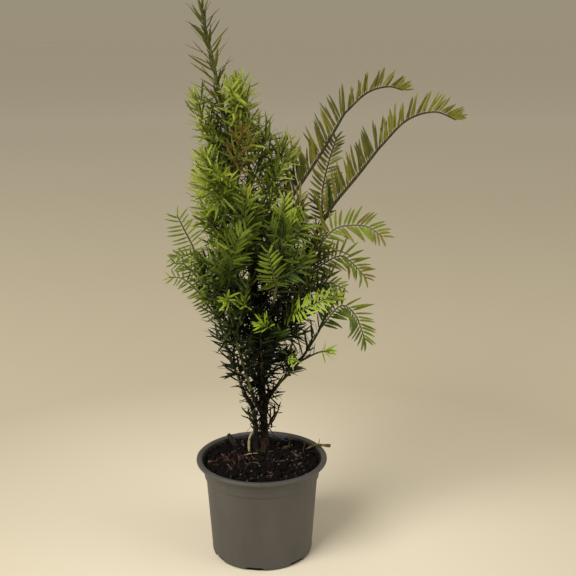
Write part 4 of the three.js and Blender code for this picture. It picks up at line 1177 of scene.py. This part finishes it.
def in_own_space(point, name, slack=0.0):
    """True where a point is nearer to the shoots of its own mass than to those of any other."""
    away = np.linalg.norm(known_points - point, axis=1)
    own = known_mass == name
    return away[own].min() < away[~own].min() + slack


def clear_of_limbs(points, thickness):
    """True where a twig of some thickness stays outside the bark of every limb."""
    away = np.linalg.norm(limb_points[None] - points[:, None], axis=2)
    return (away > limb_thick + thickness).all()


def inside_reach(point, margin):
    """True inside the box of the frame, drawn in by a margin."""
    return (point > reach_low + margin).all() and (point < reach_high - margin).all()


def inside_outline(point, slack=0.0):
    """True between the left and right edges of the crown, as it is seen from the front."""
    heights, lefts, rights = zip(*CROWN_OUTLINE)
    left, right = np.interp(point[2], heights, lefts), np.interp(point[2], heights, rights)
    return left - slack < point[0] < right + slack


def across_of(ahead, face):
    """Two directions across a shoot: the one that its flat side looks to, and the one in it."""
    outward = unit(face - ahead * (face @ ahead))
    return outward, unit(np.cross(outward, ahead))


def grow_twig(parent, share, turn, reach, foot, spec, order):
    """A side twig that leaves its parent at an angle and turns up toward the parent's tip. It takes
    its rank, its flat side and its tone from the parent."""
    coarse = parent["coarse"]
    i = round(share * (len(coarse) - 1))
    point, ahead = coarse[i], headings(coarse)[i]
    face, side = across_of(ahead, parent["face"])
    out = side * math.cos(turn) + face * math.sin(turn)
    middle = point + ahead * reach * MIDDLE_AHEAD + out * reach * MIDDLE_OUT
    tip = point + ahead * reach * TIP_AHEAD + out * reach * TIP_OUT
    taken = {**spec, "tone": parent["tone"]}
    return shoot([point, middle, tip], foot, SPRIG_TIP, parent["rank"], parent["face"], taken, order)


def first_twigs(spec, stem):
    """The seeded twigs of a mass, drawn in the frame's own order."""
    draw = seeded(seed_of(spec["name"]))
    total = len(stem["coarse"]) * RUN
    out = []
    for i in range(spec["twigs"]):
        share = TWIGS_FROM + TWIGS_OVER * (i + 0.35 + 0.3 * draw()) / spec["twigs"]
        turn = (0 if i % 2 else math.pi) + (draw() - 0.5) * TWIG_SPREAD.get(stem["rank"], ROUND_SPREAD)
        reach = TWIG_LEAST + TWIG_REACH * total * (0.8 + 0.4 * draw()) * (1 - TWIG_SHORTENING * share)
        twig = grow_twig(stem, share, turn, reach, SHOOT_RADIUS, spec, 1)
        while not inside_outline(twig["line"][-1], -CUT_INSIDE) and reach > TWIG_LEAST:
            reach *= CUT_BACK
            twig = grow_twig(stem, share, turn, reach, SHOOT_RADIUS, spec, 1)
        if in_own_space(twig["line"][-1], spec["name"]):
            out.append(twig)
    return out


spec_of = {spec["name"]: spec for spec in MASSES}
stems = {s["mass"]: s for s in shoots if s["order"] == 0}
for name, spec in spec_of.items():
    shoots += first_twigs(spec, stems[name])
print(len(shoots), "shoots after the first twigs")

# %% Needles on the limbs themselves
LOWEST_NEEDLE = 116.0
OLD_NEEDLE = 18.0
OLD_RUN = 12


def plain_spec(name, tone, needle):
    """What a shoot that isn't in the table hands on to its twigs and needles."""
    return {"name": name, "tone": tone, "needle": needle, "runs_on": False}


def clothed(name):
    """A limb as a bearer of old needles. Its tube is the bark that is already there."""
    line, radii = limbs[name]["line"], limbs[name]["radii"]
    keep = line[:, 2] > LOWEST_NEEDLE
    spec_of[name] = plain_spec(name, "deep", OLD_NEEDLE)
    bearer = shoot(line[keep][::OLD_RUN], 1.0, 1.0, "old", FRONT, spec_of[name], 4)
    bearer["radii"] = spread_over(len(bearer["line"]), radii[keep])
    return bearer


shoots += [clothed(name) for name in limbs]
print(len(limbs), "limbs bear needles of their own")

# %% Finer twigs
FINE_SPACING = {"round": 7.0, "flat": 9.0, "old": 8.0, "leader": 9.0}
FINE_FROM = 0.08
FINE_OVER = {"leader": 0.3}
FINE_OVER_ELSEWHERE = 0.78
FINE_REACH = 20.0
FINE_RADIUS = 0.75
FINE_GAP = 1.2
FINE_MARGIN = 9.0
FINE_SLACK = 3.0
FINE_INSIDE = 7.0
FULLER = {"sunny": 0.7, "bright": 0.85}
SPARSE = {"right_low": 2.4, "left_outer": 1.9}
GOLDEN_ANGLE = math.pi * (3 - math.sqrt(5))
BARE_MASSES = ("collar_left", "collar_right", "tuft_gold")


def fine_twigs(parent, number):
    """Short sprigs on a limb, stem or side shoot, closer and finer than the first twigs."""
    rank, name = parent["rank"], parent["mass"]
    if rank not in FINE_SPACING or name in BARE_MASSES:
        return []
    draw = seeded(seed_of(name) + 977 * number)
    spacing = FINE_SPACING[rank] * FULLER.get(parent["tone"], 1.0) * SPARSE.get(name, 1.0)
    shares = FINE_OVER.get(name, FINE_OVER_ELSEWHERE)
    count = int(length_of(parent["line"]) * shares / spacing)
    out = []
    for i in range(count):
        share = FINE_FROM + shares * (i + draw()) / count
        turn = (i % 2) * math.pi + 0.5 * (draw() - 0.5) if rank == "flat" else i * GOLDEN_ANGLE
        reach = FINE_REACH * (0.65 + 0.7 * draw()) * (1 - 0.3 * share)
        twig = grow_twig(parent, share, turn + 0.8 * draw(), reach, FINE_RADIUS, spec_of[name], 2)
        if rank == "flat":
            face, side = across_of(headings(twig["coarse"])[0], parent["face"])
            tilt = 1.8 * (draw() - 0.5)
            twig["face"] = face * math.cos(tilt) + side * math.sin(tilt)
        if rank in ("old", "leader"):
            twig["rank"] = "round"
        tip, on_limb = twig["line"][-1], rank == "old"
        if (clear_of_limbs(twig["coarse"][2 if on_limb else 1:], FINE_GAP)
                and (on_limb or in_own_space(tip, name, FINE_SLACK))
                and inside_reach(tip, FINE_MARGIN) and inside_outline(tip, -FINE_INSIDE)):
            out.append(twig)
    return out


for number, parent in enumerate(list(shoots)):
    shoots += fine_twigs(parent, number)
print(len(shoots), "shoots in all,", round(sum(length_of(s["line"]) for s in shoots)), "mm of twig")

# %% [markdown]
# ## Fresh tufts
#
# In early summer a few buds have just opened, most of them low in the crown. Their shoots are short
# and soft, and most of their needles are lime green, so they shine against the old foliage. Each
# one is placed where the table lists it, and joined to the nearest twig.

# %% Fresh tufts
TUFTS = [
    ((-14, -46, 270), (-0.1, -0.8, 0.5)), ((0, -44, 250), (-0.75, -0.6, 0.2)),
    ((29, -33, 212), (0.6, -0.7, -0.15)), ((42, -34, 336), (0.5, -0.8, 0.3), "bright"),
    ((66, -10, 212), (0.85, -0.4, 0.1)), ((70, -24, 268), (0.8, -0.6, 0.2)),
    ((-33, -46, 387), (-0.1, -0.95, 0.25), "bright"), ((-52, -22, 268), (-0.6, -0.7, 0.35), "bright"),
    ((-31, -48, 273), (-0.5, -0.8, 0.1)), ((10, 52, 300), (0.2, 0.9, 0.4)),
    ((-34, 50, 262), (-0.4, 0.8, 0.4)), ((40, 46, 262), (0.5, 0.7, 0.4)),
]
TUFT_LENGTH = 12.0
TUFT_NEEDLE = 15.0


def tuft(tip, heading, tone="lime"):
    """A short soft shoot that ends in a fan of young needles."""
    back = unit(np.array(heading, float)) * TUFT_LENGTH
    tip = np.array(tip, float)
    nearest = np.concatenate([s["line"] for s in shoots])
    root = nearest[np.linalg.norm(nearest - (tip - back), axis=1).argmin()]
    path = [root, tip - back * 0.5, tip]
    return shoot(path, 0.7, 0.5, "tuft", FRONT, plain_spec("tuft", tone, TUFT_NEEDLE), 3)


tufts = [tuft(*spec) for spec in TUFTS]
shoots += tufts
print(len(tufts), "fresh tufts")

# %% [markdown]
# ## Twigs
#
# A twig is a line with a thickness at each point. Geometry Nodes turn all the lines into tubes at
# once: Mesh to Curve, then Curve to Mesh with a small round profile that each point scales.
# Old twigs are brown wood, and the last years' growth is still green.


# %% A tree that gives lines a thickness
def twig_tree():
    """Makes a tube of each line, as thick as its points say."""
    tree, given = new_tree("twig_tubes", Sides=7, Finish="Material")
    curves = fed(tree, "GeometryNodeMeshToCurve", {"Mesh": given["Geometry"]})
    circle = fed(tree, "GeometryNodeCurvePrimitiveCircle", {"Resolution": given["Sides"], "Radius": 1.0})
    tubes = fed(tree, "GeometryNodeCurveToMesh", {
        "Curve": curves, "Profile Curve": circle, "Fill Caps": True,
        "Scale": attribute_of(tree, "twig_radius", "FLOAT")})
    return close_tree(tree, tubes, given["Finish"])


def lines_mesh(some_shoots):
    """All the lines as edges, with the twig's radius on each point."""
    points, edges, radii = [], [], []
    for twig in some_shoots:
        start = len(points)
        points += twig["line"].tolist()
        radii += twig["radii"].tolist()
        edges += [(start + i, start + i + 1) for i in range(len(twig["line"]) - 1)]
    mesh = bpy.data.meshes.new("lines")
    mesh.from_pydata((np.array(points) * MM).tolist(), edges, [])
    values = mesh.attributes.new("twig_radius", "FLOAT", "POINT")
    values.data.foreach_set("value", (np.array(radii) * MM).tolist())
    return mesh


# %% Brown twigs and green shoots
WOODY_TONES = ("deep", "shade", "olive", "golden")
SHOOT_TONES = [(0.3, "343b18"), (0.5, "4c5423"), (0.7, "666633")]

green_shoot = clouded("shoot_green", SHOOT_TONES, 0.5, 0.4, 90, 4)
relief(green_shoot, 0.3, 0.0003, 1500)
twig_bark = bark_finish("twig_brown", (0.3, "211c0e"), (0.55, "3b361b"), (0.75, "57522b"))
tubes = twig_tree()
all_masses = [spec["name"] for spec in MASSES]
with_tube = [s for s in shoots if s["rank"] != "old"]
woody = [s for s in with_tube if s["tone"] in WOODY_TONES]
green = [s for s in with_tube if s["tone"] not in WOODY_TONES]
finished("twigs_brown", grown(lines_mesh(woody), tubes, Sides=10, Finish=twig_bark), twig_bark,
         sorted({s["mass"] for s in woody} & set(all_masses)))
finished("shoots_green", grown(lines_mesh(green), tubes, Sides=7, Finish=green_shoot), green_shoot,
         all_masses)

# %% [markdown]
# ## Needles
#
# A yew needle is flat and parallel-sided, about 22 mm long and 2 mm wide. It has a thin foot, a
# ridge along its upper side, a short sharp point, and a slight curve. Needles stand round an upright
# shoot in a spiral, and lie in two rows on a side shoot, each one twisted at its foot so that its
# upper side looks to the light.
#
# One needle is modelled with care and few faces. Its places are worked out in numbers, twig by
# twig, and Geometry Nodes put a copy on each: the direction and the upper side are read from the
# point, and turned into a rotation with Axes to Rotation.

# %% One needle
# Each pair is a place along the needle and its half width there.
NEEDLE_FORM = [(0.0, 0.2), (0.05, 0.18), (0.12, 0.38), (0.24, 0.5), (0.6, 0.45), (0.8, 0.32),
               (0.92, 0.15)]
SICKLE = 0.21
DROOP = 0.9
STALK = 0.08
STALK_THICK, BLADE_THICK = 0.5, 0.3
UNDERSIDE_SHARE = 0.6


def needle_form():
    """A needle of length 1 along Z and width 1 along X, with its upper side toward +Y. The
    length, width and thickness are scaled apart."""
    rings = []
    for t, half in NEEDLE_FORM:
        x, y = SICKLE * math.sin(math.pi * t), -DROOP * t * t
        thick = STALK_THICK if t < STALK else BLADE_THICK
        rings.append([(x + half, y, t), (x, y + thick, t), (x - half, y, t),
                      (x, y - thick * UNDERSIDE_SHARE, t)])
    points, faces = surface(rings, close_end=False)
    last = len(points) - 4
    faces += [(last + i, last + j, last + 4) for i, j in neighbours(4)]
    mesh = bpy.data.meshes.new("needle_form")
    mesh.from_pydata([*points.tolist(), (0, -DROOP, 1.0)], [], faces)
    return bpy.data.objects.new("needle_form", mesh)


def needle_tree():
    """Puts a needle on each point, turned and sized as the point says."""
    tree, given = new_tree("needles_on_points", Needle="Object", Size=1.0, Finish="Material")
    form = fed(tree, "GeometryNodeObjectInfo", {"Object": given["Needle"]})
    turn = fed(tree, "FunctionNodeAxesToRotation", {
        "Primary Axis": attribute_of(tree, "along"),
        "Secondary Axis": attribute_of(tree, "upper")}, primary_axis="Z", secondary_axis="Y")
    size = fed(tree, "ShaderNodeVectorMath", {
        "Vector": attribute_of(tree, "size"), "Scale": given["Size"]}, operation="SCALE")
    copies = fed(tree, "GeometryNodeInstanceOnPoints", {
        "Points": given["Geometry"], "Instance": form.outputs["Geometry"], "Rotation": turn,
        "Scale": size})
    return close_tree(tree, copies, given["Finish"])


needle_object = needle_form()
needle_copies = needle_tree()
print("one needle has", len(needle_object.data.polygons), "faces")

# %% The needle rule
# Distances are in millimetres. A needle leans out from its twig by degrees that change from the
# foot to the tip of the twig, and a spray is the count of needles that share one chance.
RANK_FACTS = ("pitch", "foot_lean", "tip_lean", "power", "stray", "width", "spray")
RANKS = {
    "round": (1.75, 60, 32, 1.4, 14, 2.25, 4),
    "flat": (2.0, 54, 36, 1.6, 36, 2.3, 4),
    "frond": (1.9, 62, 44, 2.0, 18, 2.7, 4),
    "comb": (2.0, 80, 52, 2.0, 22, 1.9, 4),
    "upper": (2.5, 44, 60, 1.0, 24, 2.35, 2),
    "leader": (1.7, 70, 40, 1.0, 30, 2.6, 2),
    "tuft": (0.7, 75, 18, 1.0, 14, 2.4, 3),
    "old": (1.6, 98, 62, 1.0, 14, 1.9, 4),
}
RANKS = {rank: dict(zip(RANK_FACTS, facts)) for rank, facts in RANKS.items()}
SPIRAL = ("round", "leader", "tuft", "old")
CLIPPED = ("round", "flat", "old")
CLOSING = 0.45
TWIST = 1.3
FINE_RISE = 0.3
FINE_SHARE = 0.84
TIP_PITCH = {"upper": 0.4, "leader": 0.6}
TIP_REACH = 11.0
BARE_FOOT = {0: 5.0, 1: 2.5, 2: 1.5, 3: 5.0, 4: 0.0}
NEEDLE_THICKNESS = 0.65
COMMON_LENGTH = 22
SUNK_FOOT = 0.7
OUTLINE_SLACK = 4.5


def needle_direction(twig, i, share, ahead, draw):
    """Where a needle leaves its twig, where it points, and where its upper side looks."""
    rank = RANKS[twig["rank"]]
    lean = rank["foot_lean"] + (rank["tip_lean"] - rank["foot_lean"]) * share ** rank["power"]
    lean = math.radians(lean + rank["stray"] * (draw() - 0.5))
    lean *= 1 - CLOSING * max(0.0, share - 0.9) / 0.1
    face, side = across_of(ahead, twig["face"])
    if twig["rank"] in SPIRAL:
        angle = i * GOLDEN_ANGLE + 0.5 * (draw() - 0.5)
        out = side * math.cos(angle) + face * math.sin(angle)
    else:
        rise = 1.2 + 0.5 * (draw() - 0.5) if twig["rank"] == "upper" else 0.05 + 0.7 * draw()
        if twig["order"] == 2:
            rise += FINE_RISE
        out = side * (math.cos(rise) if i % 2 else -math.cos(rise)) + face * math.sin(rise)
    along = unit(ahead * math.cos(lean) + out * math.sin(lean))
    wide = unit(ahead - along * (ahead @ along))
    if twig["rank"] in SPIRAL:
        twist = TWIST * (draw() - 0.5)
        return out, along, wide * math.cos(twist) + np.cross(along, wide) * math.sin(twist)
    upper = np.cross(wide, along)
    if upper @ face < 0:
        upper = -upper
    return out, along, unit(upper + 0.5 * (draw() - 0.5) * wide)


def needle_length(twig, share, draw):
    """Needles are longest in the middle of a shoot, and short at its tip."""
    full = twig["needle"] * (FINE_SHARE if twig["order"] == 2 else 1.0)
    if twig["rank"] == "old":
        return full * (0.75 + 0.4 * draw())
    chance = 0.84 + 0.28 * draw()
    if twig["runs_on"]:
        return full * chance
    return full * (1 - 0.5 * share ** 4) * (1 - 0.25 * (1 - share) ** 6) * chance


def ways_along(twig, whole):
    """How far along its twig each needle stands. They crowd together at a strong shoot's tip."""
    way = BARE_FOOT[twig["order"]]
    ways = []
    while way <= whole:
        ways.append(way)
        at_tip = whole - way < TIP_REACH and not twig["runs_on"]
        way += RANKS[twig["rank"]]["pitch"] * (TIP_PITCH.get(twig["rank"], 1) if at_tip else 1)
    return ways


def needles_of(twig, number):
    """One record for each needle of a twig: root, directions, sizes, share of the way, and spray."""
    draw = seeded(5000 + 131 * number)
    line, rank = twig["line"], RANKS[twig["rank"]]
    known, ahead_at = walked(line), headings(line)
    out = []
    for i, way in enumerate(ways_along(twig, known[-1])):
        share = way / known[-1]
        ahead = unit(between(way, known, ahead_at))
        across, along, upper = needle_direction(twig, i, share, ahead, draw)
        root = between(way, known, line) + across * np.interp(way, known, twig["radii"]) * SUNK_FOOT
        length = needle_length(twig, share, draw)
        width = rank["width"] * (0.7 + 0.3 * length / COMMON_LENGTH) * (0.88 + 0.24 * draw())
        end = root + along * length
        clipped = twig["rank"] in CLIPPED and not inside_outline(end, OUTLINE_SLACK)
        if inside_reach(end, -1.0) and not clipped:
            out.append((root, along, upper, (width, NEEDLE_THICKNESS, length), share, i // rank["spray"]))
    return out


every_needle = [(twig, needles_of(twig, number)) for number, twig in enumerate(shoots)]
print(sum(len(rows) for _, rows in every_needle), "needles")

# %% [markdown]
# ## Tints, dealt out by spray
#
# Needles low in the crown and deep inside it are nearly black: partly because they are old, and
# partly as painted shade. They are painted greener upward and outward, partly as young growth and
# partly as painted light, and the tips of the highest shoots are olive and gold. Each needle takes
# one plain colour from its mass's short list. It stands further down the list the nearer it is to
# the tip of its twig, the higher it hangs and the more open its place is, and by a little chance
# that a spray of two to four needles shares. The lists named shade, deep, sunny, light and bright
# also paint shade or light over a whole mass, for where it stands. Twelve plain colours are enough
# for the eye to read a hundred.

# %% Tints
# Each tint has the slot it belongs to, and a dark and a light tone.
TINTS = {
    "night": ("needles_old", "060a03", "0b1206"),
    "pine": ("needles_old", "101806", "182309"),
    "moor": ("needles_mid", "22300b", "2c3c0e"),
    "ivy": ("needles_mid", "34480d", "415411"),
    "leaf": ("needles_leaf", "4b5d10", "5b6b15"),
    "meadow": ("needles_leaf", "627318", "728120"),
    "young": ("needles_young", "84922b", "979f3a"),
    "fern": ("needles_gold", "2c300e", "3a3d13"),
    "olive": ("needles_gold", "4a4e16", "5b5c1d"),
    "gold": ("needles_gold", "676620", "787528"),
    "bronze": ("needles_gold", "5d4c16", "6f5f1e"),
    "lime": ("needles_fresh", "86a322", "9ab52e"),
}
# Painted light and shade: the lists shade, deep, sunny, light and bright give a whole mass darker or lighter
# tints for where it stands in the crown.
TONES = {
    "deep": "night night pine pine moor",
    "shade": "night night pine moor ivy leaf meadow",
    "leafy": "night night pine moor ivy leaf leaf meadow young",
    "sunny": "pine moor ivy leaf meadow meadow young young",
    "light": "leaf meadow leaf meadow young",
    "bright": "moor ivy leaf meadow meadow young",
    "spray": "moor ivy leaf leaf meadow meadow leaf meadow",
    "mossy": "night pine moor fern olive fern leaf olive gold",
    "olive": "fern olive fern olive moor olive gold olive",
    "golden": "fern olive gold leaf olive gold olive gold",
    "leader": "fern moor olive fern olive fern gold olive",
    "rosette": "olive bronze gold bronze",
    "amber": "olive leaf gold meadow gold meadow",
    "fresh": "leaf meadow lime young lime",
    "lime": "lime young lime",
}
print(len(TINTS), "tints, dealt from", len(TONES), "lists")

# %% How bright a needle is painted: its age, and painted light and shade
UPWARD_SHARE = 0.4
CROWD_REACH = 20.0
CROWD_STEP = 3.0
CROWDED = 0.85
DARK_BELOW = 195.0
BRIGHTENING = 200.0
SHARE_WEIGHT, HEIGHT_WEIGHT, OPEN_WEIGHT = 0.22, 0.4, 0.46
LOW_AIR = 0.35
CHANCE_SPAN = 2.6
CHANCES = 60


def age_and_painted_light(rows):
    """For each needle a number from 0, old, low and crowded in, in painted shade, to 1: young, high
    and in the open, in painted light. Crowding, which paints the shade of the needles further out,
    is the count of needle tips that lie further out than its own and close to it."""
    tips = np.array([row[0] + row[1] * row[3][2] for row in rows])
    outward = tips - trunk_at(tips[:, 2])
    outward[:, 2] = UPWARD_SHARE * np.hypot(outward[:, 0], outward[:, 1])
    outward /= np.linalg.norm(outward, axis=1)[:, None]
    # Painted shade: a needle with many tips further out than its own is painted darker.
    crowd_shade = np.zeros(len(tips))
    for k, tip in enumerate(tips):
        away = tips - tip
        near = np.einsum("ij,ij->i", away, away) < CROWD_REACH ** 2
        crowd_shade[k] = (away[near] @ outward[k] > CROWD_STEP).sum()
    crowd_shade = np.minimum(1, crowd_shade / np.quantile(crowd_shade, CROWDED))
    share = np.array([row[4] for row in rows])
    # Painted light and shade: needles low in the crown are painted darker, and open ones high up lighter.
    high = np.clip((tips[:, 2] - DARK_BELOW) / BRIGHTENING, 0, 1)
    open_air_light = (1 - crowd_shade) * (LOW_AIR + (1 - LOW_AIR) * high)
    return SHARE_WEIGHT * share + HEIGHT_WEIGHT * high + OPEN_WEIGHT * open_air_light


def tint_of(twig, bright, chance):
    """The tint of one needle: down its mass's list with its age and painted light, and a little chance."""
    tones = TONES[twig["tone"]].split()
    place_in_list = bright * len(tones) + CHANCE_SPAN * (chance - 0.5)
    return tones[int(min(len(tones) - 1, max(0, place_in_list)))]


needle_age_and_painted_light = iter(age_and_painted_light([row for _, rows in every_needle for row in rows]))
dealt = {name: {"rows": [], "masses": set()} for name in TINTS}
for number, (twig, rows) in enumerate(every_needle):
    draw = seeded(900 + 17 * number)
    chance = [draw() for _ in range(CHANCES)]
    for row in rows:
        group = dealt[tint_of(twig, next(needle_age_and_painted_light), chance[row[5] % CHANCES])]
        group["rows"].append(row)
        group["masses"] |= {twig["mass"]} & set(all_masses)
print({name: len(group["rows"]) for name, group in dealt.items()})

# %% Needle pieces
MOST_FACES = 190000
SATIN = 0.24
DULL = {"night": 0.1, "pine": 0.15, "moor": 0.2}


def points_mesh(rows):
    """The needles' roots as loose points, with direction, upper side and size on each."""
    mesh = bpy.data.meshes.new("needle_points")
    mesh.from_pydata([tuple(row[0] * MM) for row in rows], [], [])
    for label, column, factor in (("along", 1, 1.0), ("upper", 2, 1.0), ("size", 3, MM)):
        values = mesh.attributes.new(label, "FLOAT_VECTOR", "POINT")
        values.data.foreach_set("vector", (np.array([row[column] for row in rows]) * factor).ravel())
    return mesh


most = MOST_FACES // sum(len(p.vertices) - 2 for p in needle_object.data.polygons)
for name, (slot, dark, light) in TINTS.items():
    rows, masses = dealt[name]["rows"], sorted(dealt[name]["masses"])
    finish = clouded("needle_" + name, [(0.35, dark), (0.65, light)], 0.5, DULL.get(name, SATIN), 160)
    for k in range(0, len(rows), most):
        mesh = grown(points_mesh(rows[k:k + most]), needle_copies, Needle=needle_object, Finish=finish)
        finished(f"needles_{name}_{k // most + 1}", mesh, finish, masses, smooth=False)
